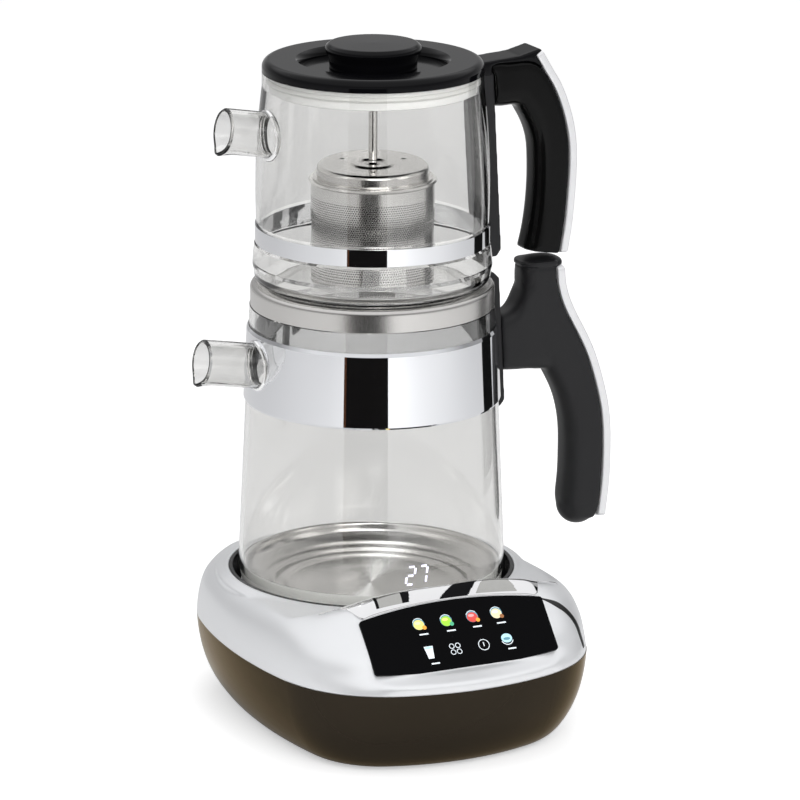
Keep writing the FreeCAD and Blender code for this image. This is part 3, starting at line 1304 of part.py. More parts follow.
kettle_bar_sides = (dim.band_foot_z - dim.kettle_mount_foot_drop,
                    dim.collar_top_z - dim.kettle_mount_head_drop,
                    dim.kettle_mount_foot_x, dim.kettle_mount_head_x)
teapot_bar_sides = (dim.groove_foot_z - dim.teapot_mount_foot_drop,
                    dim.teapot_rim_z - dim.teapot_mount_head_drop,
                    dim.teapot_mount_foot_x, dim.teapot_mount_head_x)
kettle_bar = mount_bar("kettle_bar", *kettle_bar_sides, dim.mount_half_width)
teapot_bar = mount_bar("teapot_bar", *teapot_bar_sides, dim.mount_half_width)
kettle_trim = mount_bar("kettle_bar_wide", *kettle_bar_sides, dim.grip_half_width * 2)
teapot_trim = mount_bar("teapot_bar_wide", *teapot_bar_sides, dim.grip_half_width * 2)
finish(cut("kettle_mount_cut", kettle_bar, kettle_clear, *kettle_bores), "kettle_handle_mount")
finish(cut("teapot_mount_cut", teapot_bar, pot_clear, *teapot_bores), "teapot_handle_mount")
finish(cut("kettle_grip_cut", joined("kettle_grip_form", kettle_stem, arm), kettle_trim, *kettle_bores),
       "kettle_grip")
finish(cut("teapot_grip_cut", teapot_stem, teapot_trim, *teapot_bores), "teapot_grip")
finish(grip_loft("kettle_strip", "kettle_grip", len(KETTLE_GRIP) - 2, strip_section),
       "kettle_grip_strip")
finish(grip_loft("teapot_strip", "teapot_grip", len(TEAPOT_GRIP) - 4, strip_section),
       "teapot_grip_strip")

# Cap on the kettle's stem, where the teapot's grip comes down to meet it.
kettle_cap = new_body("kettle_cap")
cap_sketch = new_sketch(kettle_cap, "XY_Plane", "kettle_cap_outline", grip_level("kettle_grip", 0))
section_points, section_arcs = grip_section("kettle_grip", 0)
cap_back = grip_back("kettle_grip", 0)
outline(cap_sketch, [(cap_back + x, y) for x, y in section_points], section_arcs)
cap_pad = kettle_cap.newObject("PartDesign::Pad", "kettle_cap_pad")
cap_pad.Profile = cap_sketch
bind(cap_pad, "Length", dim.grip_cap_thickness)
finish(kettle_cap, "kettle_grip_cap")

# Cap along the top of the teapot's arm, ending in a raised tip behind the strip.
tip_x = grip_back("teapot_grip", 8) + 2
top_z = grip_level("teapot_grip", len(TEAPOT_GRIP) - 1)
teapot_cap = padded("teapot_cap", "XZ_Plane",
                    [(dim.throat_radius + 1.2, top_z - 6), (tip_x + 1, top_z - 6),
                     (tip_x + 6, top_z + 1.5),
                     (tip_x + 1, top_z + dim.grip_cap_thickness * 3),
                     (tip_x - 12, top_z + dim.grip_cap_thickness * 1.7),
                     (dim.throat_radius + 1.2, top_z + dim.grip_cap_thickness)],
                    None, dim.grip_half_width * 1.84, None, True)
finish(cut("teapot_cap_cut", teapot_cap, teapot_stem, teapot_bar, pot_clear, *teapot_bores),
       "teapot_grip_cap")

# ---------------------------------------------------------------- check and export

doc.recompute()
for item in doc.Objects:
    if "Invalid" in item.State or "Error" in item.State:
        raise RuntimeError("%s is not built: %s" % (item.Label, item.State))
os.makedirs("parts", exist_ok=True)
for item in pieces:
    shape = item.Shape
    if shape.isNull() or not shape.isValid():
        raise RuntimeError("%s has no valid shape" % item.Label)
    shape.exportStep("parts/%s.step" % item.Label)
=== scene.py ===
"""Two-tier tea maker dressed for a studio picture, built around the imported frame."""
import json
import math

import bmesh
import bpy
import numpy as np
from mathutils import Matrix, Vector
from mathutils.bvhtree import BVHTree


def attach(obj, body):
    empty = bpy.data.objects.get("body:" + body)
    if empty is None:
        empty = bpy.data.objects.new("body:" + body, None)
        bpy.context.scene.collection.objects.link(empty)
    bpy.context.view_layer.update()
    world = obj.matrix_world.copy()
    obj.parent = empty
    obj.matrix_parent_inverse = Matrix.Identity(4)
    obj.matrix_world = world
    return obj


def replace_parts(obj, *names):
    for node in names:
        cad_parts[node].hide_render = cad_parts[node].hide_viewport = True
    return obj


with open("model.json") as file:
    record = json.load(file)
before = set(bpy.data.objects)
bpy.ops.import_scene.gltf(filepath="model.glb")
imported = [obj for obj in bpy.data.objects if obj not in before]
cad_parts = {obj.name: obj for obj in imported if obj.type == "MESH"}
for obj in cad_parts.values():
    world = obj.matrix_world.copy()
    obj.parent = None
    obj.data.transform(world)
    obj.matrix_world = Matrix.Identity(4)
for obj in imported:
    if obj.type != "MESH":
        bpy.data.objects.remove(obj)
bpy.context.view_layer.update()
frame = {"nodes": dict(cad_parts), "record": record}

MM = 0.001
AXIS = Vector((-21.0, 24.25, 0.0)) * MM  # the kettle's axis in the row frame


def linked(name, data):
    """Object in the scene."""
    item = bpy.data.objects.new(name, data)
    bpy.context.scene.collection.objects.link(item)
    return item


# ---- camera

# Solved from the photo's silhouettes; the shift is that of the photo's frame, in its pixels.
AZIMUTH, ELEVATION, DISTANCE = math.radians(-25.0), math.radians(15.67), 2.941
TARGET = Vector((AXIS.x, AXIS.y, 0.1853))
ROLL = math.radians(0.236)
LENS_MM, SENSOR_MM = 225.0, 36.0
PHOTO_WIDTH_PX, SHIFT_PX = 800, 28.1

back = Vector((math.sin(AZIMUTH) * math.cos(ELEVATION), -math.cos(AZIMUTH) * math.cos(ELEVATION),
               math.sin(ELEVATION)))
camera_data = bpy.data.cameras.new("photo_camera")
camera_data.lens = LENS_MM
camera_data.sensor_width = SENSOR_MM
camera_data.shift_x = SHIFT_PX / PHOTO_WIDTH_PX
camera_data.clip_start, camera_data.clip_end = 0.05, 100.0
camera = linked("photo_camera", camera_data)
right = Vector((math.cos(AZIMUTH), math.sin(AZIMUTH), 0.0))
up = back.cross(right)
right, up = (right * math.cos(ROLL) + up * math.sin(ROLL),
             up * math.cos(ROLL) - right * math.sin(ROLL))
turn = Matrix((right, up, back)).transposed().to_4x4()
camera.matrix_world = Matrix.Translation(TARGET + back * DISTANCE) @ turn
bpy.context.scene.camera = camera

# ---- material helpers


class Tree:
    """A node tree of a material or of the world under construction."""

    def __init__(self, owner, out_kind):
        owner.use_nodes = True
        self.owner, self.tree = owner, owner.node_tree
        self.tree.nodes.clear()
        self.out = self.node(out_kind)
        self.coords = None

    def node(self, kind, **settings):
        made = self.tree.nodes.new(kind)
        for key, value in settings.items():
            setattr(made, key, value)
        return made

    def link(self, source, target):
        self.tree.links.new(source, target)

    def feed(self, sockets, values):
        """Each value into its socket: a constant is set there, anything else is linked."""
        for socket, value in zip(sockets, values):
            if isinstance(value, (int, float)):
                socket.default_value = value
            elif isinstance(value, tuple):
                socket.default_value = (*value, 1.0)
            else:
                self.link(value, socket)

    def place(self, scale=(1, 1, 1), offset=(0, 0, 0)):
        """Object coordinates, stretched."""
        if self.coords is None:
            self.coords = self.node("ShaderNodeTexCoord").outputs["Object"]
        mapping = self.node("ShaderNodeMapping")
        mapping.inputs["Scale"].default_value = scale
        mapping.inputs["Location"].default_value = offset
        self.link(self.coords, mapping.inputs["Vector"])
        return mapping.outputs[0]

    def noise(self, size, detail=3.0, stretch=(1, 1, 1), vector=None):
        """Noise whose features are about size millimetres across."""
        texture = self.node("ShaderNodeTexNoise")
        texture.inputs["Scale"].default_value = 1.0 / (size * MM)
        texture.inputs["Detail"].default_value = detail
        self.link(vector or self.place(stretch), texture.inputs["Vector"])
        return texture.outputs["Fac"]

    def about_axis(self):
        """X, Y and Z of a point, in metres about the kettle's axis."""
        split = self.node("ShaderNodeSeparateXYZ")
        self.link(self.place(offset=(-AXIS.x, -AXIS.y, 0)), split.inputs[0])
        return [split.outputs[letter] for letter in "XYZ"]

    def mixed(self, factor, a, b):
        """Colour a, or b where the factor is 1."""
        mix = self.node("ShaderNodeMix", data_type="RGBA")
        self.feed((mix.inputs["Factor"], mix.inputs[6], mix.inputs[7]), (factor, a, b))
        return mix.outputs[2]

    def scaled(self, value, low, high):
        """value, 0 to 1, spread over low to high."""
        made = self.node("ShaderNodeMapRange")
        self.feed([made.inputs[key] for key in ("Value", "To Min", "To Max")], (value, low, high))
        return made.outputs[0]

    def maths(self, operation, *values):
        made = self.node("ShaderNodeMath", operation=operation)
        self.feed(made.inputs, values)
        return made.outputs[0]

    def times(self, a, b):
        return self.maths("MULTIPLY", a, b)

    def bump(self, height, depth, strength):
        """Relief of a depth in millimetres."""
        made = self.node("ShaderNodeBump")
        self.feed([made.inputs[key] for key in ("Height", "Distance", "Strength")],
                  (height, depth * MM, strength))
        return made.outputs[0]

    def blend(self, factor, first, second):
        """First shader, or the second where the factor is 1."""
        mix = self.node("ShaderNodeMixShader")
        self.feed(mix.inputs, (factor, first, second))
        return mix.outputs[0]

    def surface(self, **sockets):
        """Principled surface; a socket takes a constant or a link."""
        body = self.node("ShaderNodeBsdfPrincipled")
        self.feed([body.inputs[key.replace("_", " ")] for key in sockets], sockets.values())
        return body.outputs[0]

    def finish(self, shader):
        self.link(shader, self.out.inputs["Surface"])
        return self.owner


class Shader(Tree):
    """Tree of a new material."""

    def __init__(self, name):
        super().__init__(bpy.data.materials.new(name), "ShaderNodeOutputMaterial")


def satin_silver():
    """Silver lacquer: a fine metallic grain over soft cloudy changes."""
    s = Shader("satin_silver")
    grain = s.noise(0.22, 2.0)
    cloud = s.noise(26.0, 2.0)
    colour = s.mixed(s.scaled(grain, 0.0, 0.35), (0.80, 0.81, 0.825), (0.68, 0.69, 0.71))
    colour = s.mixed(s.scaled(cloud, 0.0, 0.25), colour, (0.84, 0.845, 0.85))
    return s.finish(s.surface(Base_Color=colour, Metallic=0.5, Roughness=s.scaled(grain, 0.30, 0.42),
                              Coat_Weight=0.12, Coat_Roughness=0.12, Normal=s.bump(grain, 0.004, 0.25)))


def strip_silver():
    """Silver lacquer with a grain drawn along the handles' strips."""
    s = Shader("strip_silver")
    grain = s.noise(0.18, 2.0, (1, 1, 0.15))
    colour = s.mixed(s.scaled(grain, 0.0, 0.4), (0.80, 0.80, 0.81), (0.68, 0.68, 0.70))
    return s.finish(s.surface(Base_Color=colour, Metallic=0.5, Roughness=s.scaled(grain, 0.26, 0.38),
                              Normal=s.bump(grain, 0.004, 0.2)))


def gloss_plastic(name, colour, light, rough, wave=0.02, shine=0.3, metallic=0.0, tint=(1.0, 1.0, 1.0)):
    """Polished moulding: hardly visible flow waves and fine dust in the roughness."""
    s = Shader(name)
    cloud = s.noise(30.0, 2.0)
    dust = s.noise(0.9, 4.0)
    base = s.mixed(s.scaled(cloud, 0.0, 0.5), colour, light)
    return s.finish(s.surface(Base_Color=base, Roughness=s.scaled(dust, rough * 0.7, rough * 1.6),
                              Specular_IOR_Level=shine, Specular_Tint=tint, Metallic=metallic,
                              Normal=s.bump(cloud, wave, 0.2)))


def grip_plastic():
    """Matt black plastic with a fine spark-eroded grain."""
    s = Shader("grip_plastic")
    grain = s.noise(0.45, 4.0)
    pits = s.node("ShaderNodeTexVoronoi")
    pits.inputs["Scale"].default_value = 1.0 / (0.55 * MM)
    s.link(s.place(), pits.inputs["Vector"])
    height = s.times(grain, pits.outputs["Distance"])
    colour = s.mixed(s.scaled(grain, 0.0, 0.6), (0.009, 0.009, 0.010), (0.017, 0.017, 0.018))
    return s.finish(s.surface(Base_Color=colour, Roughness=s.scaled(grain, 0.34, 0.50),
                              Specular_IOR_Level=0.28, Normal=s.bump(height, 0.05, 0.4)))


def polished_steel(name="polished_steel", colour=(0.86, 0.86, 0.865), rough=0.03):
    """Mirror-like steel with fine polishing lines in its roughness."""
    s = Shader(name)
    lines = s.noise(0.25, 3.0, (1, 1, 6))
    shade = s.mixed(s.scaled(lines, 0.0, 0.3), colour, (0.78, 0.78, 0.785))
    return s.finish(s.surface(Base_Color=shade, Metallic=1.0,
                              Roughness=s.scaled(lines, rough, rough + 0.035)))


def brushed_steel(name="brushed_steel", along=(1, 1, 9), rough=0.22, tone=0.60):
    """Steel brushed round the axis: lines that run level."""
    s = Shader(name)
    lines = s.noise(1.2, 5.0, along)
    fine = s.noise(0.35, 3.0, along)
    colour = s.mixed(lines, (tone, tone * 0.98, tone * 0.955), (tone * 0.84, tone * 0.825, tone * 0.80))
    return s.finish(s.surface(Base_Color=colour, Metallic=1.0, Anisotropic=0.5,
                              Roughness=s.scaled(lines, rough - 0.05, rough + 0.1),
                              Normal=s.bump(fine, 0.01, 0.35)))


def perforated_steel(row_height=1.25, columns=160, hole_share=0.075, foot=266.0, head=311.0):
    """Etched sieve: staggered rows of fine holes between two levels, sunk by a bump and painted dark, as
    painted shade seen through them; sizes in millimetres.
    """
    s = Shader("perforated_steel")
    x, y, z = s.about_axis()
    heading = s.maths("ARCTAN2", y, x)
    row = s.times(z, 1 / (row_height * MM))
    shift = s.times(s.maths("MODULO", s.maths("FLOOR", row), 2.0), 0.5)
    column = s.maths("ADD", s.times(heading, columns / (2 * math.pi)), shift)
    across = s.maths("SUBTRACT", s.maths("FRACT", column), 0.5)
    upward = s.maths("SUBTRACT", s.maths("FRACT", row), 0.5)
    reach = s.maths("ADD", s.times(across, across), s.times(upward, upward))
    field = s.times(s.maths("LESS_THAN", z, head * MM), s.maths("GREATER_THAN", z, foot * MM))
    hole_and_shade = s.times(s.maths("LESS_THAN", reach, hole_share), field)
    lines = s.noise(1.0, 4.0, (1, 1, 9))
    colour = s.mixed(lines, (0.60, 0.595, 0.58), (0.74, 0.73, 0.72))
    # Holes painted dark: painted shade of the basket's inside seen through them.
    colour = s.mixed(hole_and_shade, colour, (0.10, 0.10, 0.10))
    return s.finish(s.surface(Base_Color=colour, Metallic=1.0, Roughness=s.scaled(lines, 0.16, 0.30),
                              Normal=s.bump(hole_and_shade, 0.15, 0.6)))


def clear_glass(name="clear_glass", tone=0.855):
    """Borosilicate glass that lets the lamps' light through."""
    s = Shader(name)
    ripple = s.noise(38.0, 1.0, (1, 1, 0.3))
    body = s.surface(Base_Color=(tone, tone * 0.998, tone * 0.988), Transmission_Weight=1.0,
                     Roughness=0.0, IOR=1.47, Normal=s.bump(ripple, 0.12, 0.25))
    clear = s.node("ShaderNodeBsdfTransparent")
    s.feed(clear.inputs, [(0.96, 0.965, 0.96)])
    rays = s.node("ShaderNodeLightPath").outputs
    return s.finish(s.blend(rays["Is Shadow Ray"], body, clear.outputs[0]))


def plain(name, colour, rough, metallic=0.0, grain_size=0.6, depth=0.02):
    """Small moulded or cast piece with a faint grain."""
    s = Shader(name)
    grain = s.noise(grain_size, 3.0)
    shade = s.mixed(s.scaled(grain, 0.0, 0.5), colour, tuple(c * 0.8 for c in colour))
    return s.finish(s.surface(Base_Color=shade, Metallic=metallic,
                              Roughness=s.scaled(grain, rough * 0.85, min(rough * 1.2, 1.0)),
                              Normal=s.bump(grain, depth, 0.4)))


FINISHES = {
    "cover_silver": satin_silver(),
    "bowl_brown": gloss_plastic("bowl_gloss", (0.030, 0.024, 0.017), (0.040, 0.032, 0.023), 0.12, shine=0.12,
                                metallic=0.7, tint=(0.95, 0.80, 0.60)),
    "gloss_black": gloss_plastic("gloss_black", (0.002, 0.002, 0.0025), (0.004, 0.004, 0.005), 0.07,
                                 shine=0.14),
    "matte_black": grip_plastic(),
    "liner_black": gloss_plastic("liner_gloss", (0.012, 0.012, 0.013), (0.020, 0.020, 0.021), 0.12),
    "strip_silver": strip_silver(),
    "chrome": polished_steel("chrome", (0.88, 0.88, 0.885), 0.015),
    "steel": brushed_steel(tone=0.68),
    "steel_polished": polished_steel(),
    "glass": clear_glass(),
    "panel_black": gloss_plastic("panel_black", (0.0010, 0.0010, 0.0014), (0.0018, 0.0018, 0.0024), 0.05,
                                 wave=0.0, shine=0.05),
    **{name: plain(name, *values) for name, *values in (
        ("trim_black", (0.004, 0.004, 0.004), 0.3), ("rubber", (0.03, 0.03, 0.03), 0.8),
        ("silicone", (0.70, 0.70, 0.68), 0.45), ("lid_inner", (0.72, 0.72, 0.71), 0.4),
        ("board_green", (0.03, 0.16, 0.08), 0.5), ("screw_steel", (0.55, 0.55, 0.56), 0.3, 1.0),
        ("element", (0.60, 0.60, 0.61), 0.35, 1.0), ("connector", (0.05, 0.05, 0.055), 0.5))},
}
SLOTS = {row["node"]: row["material_slot"] for row in frame["record"]["subparts"]}
SPECIAL = {
    "infuser_basket": perforated_steel(),
    "infuser_cap": brushed_steel("cap_steel", (1, 1, 4), 0.18, 0.62),
    "infuser_rod": brushed_steel("rod_steel", (1, 1, 0.3), 0.10, 0.62),
    "teapot_grip": gloss_plastic("grip_gloss", (0.002, 0.002, 0.002), (0.004, 0.004, 0.004), 0.14,
                                 shine=0.13),
    # A lighter copy of the same glass as the kettle's: painted light, the teapot shown brighter than the
    # kettle.
    "teapot_glass": clear_glass("teapot_clear_lit_copy", 0.905),
    "kettle_band": polished_steel("band_chrome", (0.74, 0.75, 0.775), 0.015),
}
SPECIAL["teapot_band"] = SPECIAL["kettle_band"]
for name, item in frame["nodes"].items():
    item.data.materials.clear()
    item.data.materials.append(SPECIAL.get(name, FINISHES[SLOTS[name]]))

# ---- helpers for pieces


def in_row(points):
    """Points about the kettle's axis, in millimetres, as points of the row frame in metres."""
    return np.asarray(points, float) * MM + np.array(AXIS)


def unit(vector):
    return vector / np.linalg.norm(vector)


def riding(name, mesh, body):
    """Piece of the object, moving with a body."""
    item = linked(name, mesh)
    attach(item, body)
    return item


def add_piece(name, vertices, faces, body, slot, material=None, smooth=True):
    """Mesh from points about the axis in millimetres, riding on a body."""
    mesh = bpy.data.meshes.new(name)
    mesh.from_pydata([tuple(v) for v in in_row(vertices)], [], faces)
    mesh.validate()
    for polygon in mesh.polygons:
        polygon.use_smooth = smooth
    mesh.materials.append(material or FINISHES[slot])
    return riding(name, mesh, body)


def copied(node):
    """Mesh of a node, ready to be reshaped."""
    form = bmesh.new()
    form.from_mesh(frame["nodes"][node].data)
    return form


def stand_in(name, node, form, body):
    """Reshaped copy of a node, in the node's place."""
    mesh = frame["nodes"][node].data.copy()
    mesh.name = name
    form.to_mesh(mesh)
    form.free()
    item = riding(name, mesh, body)
    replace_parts(item, node)
    return item


def thickened(item, thickness, offset):
    shell = item.modifiers.new("thickness", "SOLIDIFY")
    shell.thickness = thickness * MM
    shell.offset = offset


def grid_faces(rows, columns, wrap=False, close=False, first=0):
    """Quads of a grid whose points run along the columns first; wrap joins its last row to the first, and
    close its last column."""
    faces = []
    for i in range(rows if wrap else rows - 1):
        above = (i + 1) % rows
        for j in range(columns if close else columns - 1):
            beside = (j + 1) % columns
            faces.append((first + i * columns + j, first + above * columns + j,
                          first + above * columns + beside, first + i * columns + beside))
    return faces


def averaged(line, rounds):
    """Points drawn towards the middle of their neighbours; the ends stay."""
    for _ in range(rounds):
        line[1:-1] = (line[:-2] + 2 * line[1:-1] + line[2:]) / 4
    return line


def circled(grid, axis):
    """Points drawn towards the middle of their neighbours round a closed axis, once."""
    return (np.roll(grid, 1, axis) + 2 * grid + np.roll(grid, -1, axis)) / 4


def run_of(line):
    """Length of a flat line up to each of its points."""
    return np.concatenate([[0], np.cumsum(np.hypot(*np.diff(line, axis=0).T))])


def respaced(line, count):
    """Flat line with its points spread evenly."""
    run = run_of(line)
    spread = np.linspace(0, run[-1], count)
    return np.stack([np.interp(spread, run, line[:, k]) for k in (0, 1)], 1)


def smooth_min(a, b, width):
    """Smaller of two fields, rounded where they meet."""
    overlap = np.maximum(width - np.abs(a - b), 0.0) / width
    return np.minimum(a, b) - overlap ** 2 * width / 4


def ease(value, low, high):
    """0 below low, 1 above high, with a soft start and end between."""
    share = np.clip((value - low) / (high - low), 0.0, 1.0)
    return share * share * (3 - 2 * share)


# ---- top cover

# Sizes about the kettle's axis in millimetres, front towards -Y.
SEAM_Z, EDGE_Z, LEDGE_Z, DECK_Z, DISH_Z, CREST_Z = 52.0, 57.0, 60.7, 82.5, 84.0, 99.6
TABLE_TOP_Z = 104.0
FRONT_REACH, SIDE_REACH, BACK_REACH, SIDE_CENTRE_Y = 148.5, 101.5, 100.0, -26.0
SIDE_TUCK, BACK_TUCK, TUCK_HEIGHT, LEDGE_FALL = 18.4, 15.2, 48.0, 3.1
DISH_FRONT, DISH_BACK, DISH_SIDE, DISH_FLARE = 89.0, 130.0, 116.0, 0.55
DECK_RISE, DECK_START_Y, DECK_RUN, DECK_POWER = 9.5, -5.0, 85.0, 1.4
BROW_RUN, BROW_SLOPE = 40, 1.5  # the deck's last rise, up to the sloping front
# Widths over which the cover's faces melt into one another, and the spans over which some of it sets in.
ROOF_BLEND, DISH_BLEND, EDGE_BLEND, SIDE_BLEND, BACK_BLEND, LEDGE_BLEND = 6.0, 1.5, 2.5, 6.0, 2.0, 5.0
SIDE_SPAN, BACK_SPAN, FLANK_SPAN = (50, 80), (-80, -20), (50, 64)
# Radii of the ovals' arcs: front, front corner, side, rear corner, back.
SEAM_RADII = (155.0, 66.0, 320.0, 75.0, 168.0)
FASCIA_RADII = (900.0, 48.0, 320.0, 75.0, 168.0)
DISH_RADII = (300.0, 62.0, 320.0, 75.0, 168.0)
ROOF_RADIUS = 270.0
WELL_RADIUS, WELL_RIM_Z, LIP_RADIUS, LIP_FALL = 84.5, 85.0, 92.0, 0.4
FASCIA_TILT = math.radians(47.0)
FASCIA_Y, FASCIA_Z = -120.0, 76.0
FASCIA_BOW, FACE_HALF, FACE_SINK = 2.0, 60.0, 0.3
CORE_R, CORE_Z, CORE_REACH = 88.0, 60.0, 90.0  # the cover's skin is found outwards from this circle
ALONG = np.array([0.0, math.cos(FASCIA_TILT), math.sin(FASCIA_TILT)])
OUT = np.array([0.0, -math.sin(FASCIA_TILT), math.cos(FASCIA_TILT)])


def on_fascia(x, u, lift=0.0):
    """Point of the sloping front, u up the slope, at a height above its face."""
    return np.array([x, FASCIA_Y, FASCIA_Z]) + ALONG * u + OUT * lift


def fascia_front(z):
    """Reach of the sloping front at a level."""
    return -FASCIA_Y - (z - FASCIA_Z) / math.tan(FASCIA_TILT)


def meeting(first, first_reach, second, second_reach, upward):
    """Point at given reaches from two centres, on the right, up or down."""
    line = second - first
    length = math.hypot(*line)
    along = (first_reach ** 2 - second_reach ** 2 + length ** 2) / (2 * length)
    across = math.sqrt(max(first_reach ** 2 - along ** 2, 0.0))
    unit = line / length
    foot, normal = first + unit * along, np.array([-unit[1], unit[0]]) * across
    return max((foot + normal, foot - normal), key=lambda point: point[0] + upward * point[1])


def oval_radius(headings, front, back, side, radii):
    """Distance from the axis to an oval of eight tangent arcs, along each heading."""
    r_front, r_corner, r_side, r_rear, r_back = radii
    front_c, back_c = np.array([0, r_front - front]), np.array([0, back - r_back])
    side_c = np.array([side - r_side, SIDE_CENTRE_Y])
    corner_c = meeting(front_c, r_front - r_corner, side_c, r_side - r_corner, -1)
    rear_c = meeting(back_c, r_back - r_rear, side_c, r_side - r_rear, 1)
    joints = []
    for outer, reach, inner in ((front_c, r_front, corner_c), (side_c, r_side, corner_c),
                                (side_c, r_side, rear_c), (back_c, r_back, rear_c)):
        x, y = outer + (inner - outer) / math.hypot(*(inner - outer)) * reach
        joints.append(math.atan2(y, x))
    along_x, along_y = np.abs(np.cos(headings)), np.sin(headings)
    which = np.searchsorted(joints, np.arctan2(along_y, along_x))
    centres = np.array([front_c, corner_c, side_c, rear_c, back_c])[which]
    reach = np.array(radii)[which]
    forward = along_x * centres[:, 0] + along_y * centres[:, 1]
    return forward + np.sqrt(forward ** 2 - (centres ** 2).sum(1) + reach ** 2)


HEADINGS = np.linspace(-math.pi, math.pi, 480, endpoint=False)
LEVELS = np.arange(SEAM_Z, TABLE_TOP_Z, 1.0)


def wall_table():
    """Reach of the cover's wall for each heading and level."""
    table = []
    for z in LEVELS:
        share = (z - SEAM_Z) / TUCK_HEIGHT
        ledge, fascia = FRONT_REACH - (z - EDGE_Z) * LEDGE_FALL, fascia_front(z) + FASCIA_BOW
        front = min(FRONT_REACH, -float(smooth_min(-ledge, -fascia, LEDGE_BLEND)))
        side = SIDE_REACH - SIDE_TUCK * share ** 2.2
        rear = BACK_REACH - BACK_TUCK * share ** 2
        turn = float(ease(z, EDGE_Z - 3, 70.0))
        radii = [1 / ((1 - turn) / low + turn / high) for low, high in zip(SEAM_RADII, FASCIA_RADII)]
        table.append(oval_radius(HEADINGS, front, rear, side, radii))
    table = np.minimum.accumulate(np.array(table))
    soft = table.copy()
    for _ in range(30):
        soft = circled(averaged(soft, 1), 1)
    return (table + (soft - table) * ease(np.abs(table * np.cos(HEADINGS)), *FLANK_SPAN)).T


def dish_table():
    """Reach of the hollow in the cover's roof for each heading and level."""
    table = [oval_radius(HEADINGS, DISH_FRONT + max(z - DISH_Z, 0) * DISH_FLARE, DISH_BACK, DISH_SIDE,
                         DISH_RADII) for z in LEVELS]
    return np.array(table).T


def cover_field(walls, dish, r, z):
    """Positive inside the cover; r and z are grids with a row for each heading."""
    x, y = r * np.cos(HEADINGS)[:, None], r * np.sin(HEADINGS)[:, None]
    place = np.clip(z - SEAM_Z, 0, len(LEVELS) - 1.001)
    low = place.astype(int)
    share = place - low
    row = np.arange(len(HEADINGS))[:, None]
    wall = walls[row, low] * (1 - share) + walls[row, low + 1] * share - r
    hollow = r - dish[row, low] * (1 - share) - dish[row, low + 1] * share
    roof = CREST_Z - ROOF_RADIUS + np.sqrt(ROOF_RADIUS ** 2 - np.minimum(x ** 2, 2e4)) - z
    slope = np.clip((DECK_START_Y - y) / DECK_RUN, 0, 1) ** DECK_POWER
    deck = DECK_Z + DECK_RISE * slope - z
    deck += np.clip(DECK_START_Y - DECK_RUN - y, 0, BROW_RUN) * BROW_SLOPE
    blend = EDGE_BLEND + SIDE_BLEND * ease(np.abs(x), *SIDE_SPAN) + BACK_BLEND * ease(y, *BACK_SPAN)
    body = smooth_min(wall, smooth_min(roof, deck, ROOF_BLEND), blend)
    body = smooth_min(body, -smooth_min(z - DISH_Z, -hollow, DISH_BLEND), DISH_BLEND)
    face = (y - FASCIA_Y) * math.sin(FASCIA_TILT) - (z - FASCIA_Z) * math.cos(FASCIA_TILT) - FACE_SINK
    body = np.where(np.abs(x) < FACE_HALF, np.minimum(body, np.maximum(face, LEDGE_Z - z)), body)
    lip = np.minimum(LIP_RADIUS - r, WELL_RIM_Z - z - np.maximum(r - WELL_RADIUS - 1, 0) * LIP_FALL)
    return np.minimum(np.minimum(np.maximum(body, lip), r - WELL_RADIUS), z - SEAM_Z)


def cover_grid(columns=128):
    """Cover's skin from the seam over the top to the well, as rows of points about the axis."""
    walls, dish = wall_table(), dish_table()
    start = np.arctan2(SEAM_Z - CORE_Z, walls[:, 0] - CORE_R)
    turns = start[:, None] + (math.pi - start[:, None]) * np.linspace(0, 1, 420)
    near, far = np.zeros_like(turns), np.full_like(turns, CORE_REACH)
    for _ in range(26):
        middle = (near + far) / 2
        r, z = CORE_R + middle * np.cos(turns), CORE_Z + middle * np.sin(turns)
        inside = cover_field(walls, dish, r, z) > 0
        near, far = np.where(inside, middle, near), np.where(inside, far, middle)
    r, z = CORE_R + near * np.cos(turns), CORE_Z + near * np.sin(turns)
    grid = np.empty((len(HEADINGS), columns, 3))
    for i, heading in enumerate(HEADINGS):
        reach, level = respaced(np.stack([r[i], z[i]], 1), columns).T
        grid[i] = np.stack([reach * math.cos(heading), reach * math.sin(heading), level], 1)
    for _ in range(4):
        grid = circled(grid, 0)
        averaged(grid.swapaxes(0, 1), 1)
    return grid


cover_points = cover_grid()
cover_rows, cover_columns = cover_points.shape[:2]
cover_vertices = cover_points.reshape(-1, 3)
cover_faces = grid_faces(cover_rows, cover_columns, wrap=True)
cover_tree = BVHTree.FromPolygons([tuple(v) for v in cover_vertices], cover_faces)
underside = [((i + 1) * cover_columns - 1, ((i + 1) % cover_rows + 1) * cover_columns - 1,
              ((i + 1) % cover_rows) * cover_columns, i * cover_columns) for i in range(cover_rows)]
cover = add_piece("cover_shell", cover_vertices, cover_faces + underside, "base", "cover_silver")
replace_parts(cover, "top_cover")


def dropped(x, y, lift):
    """Point of the cover's skin under a place in plan."""
    place, normal, _, _ = cover_tree.ray_cast(Vector((x, y, 150.0)), Vector((0, 0, -1)))
    return np.array(place + normal * lift)


# ---- chrome arch with painted reflections, and dark inlay

PANEL_HEAD_U, PANEL_HEAD_RADIUS, PANEL_CORNER_X = 22.8, 283.0, 57.0
ARCH_LEFT_X, ARCH_RIGHT_X, ARCH_RIDGE_Y, ARCH_RIDGE_BEND = -74.0, 80.0, -97.2, 560.0
ARCH_CROWN, ARCH_LINE = 1.7, 0.9  # rise of its middle, and width of the line that its ends thin to
FOOT_SPAN, CROWN_SPAN = (54, 66), (50, 64)  # where its foot leaves the glass and where its crown fades
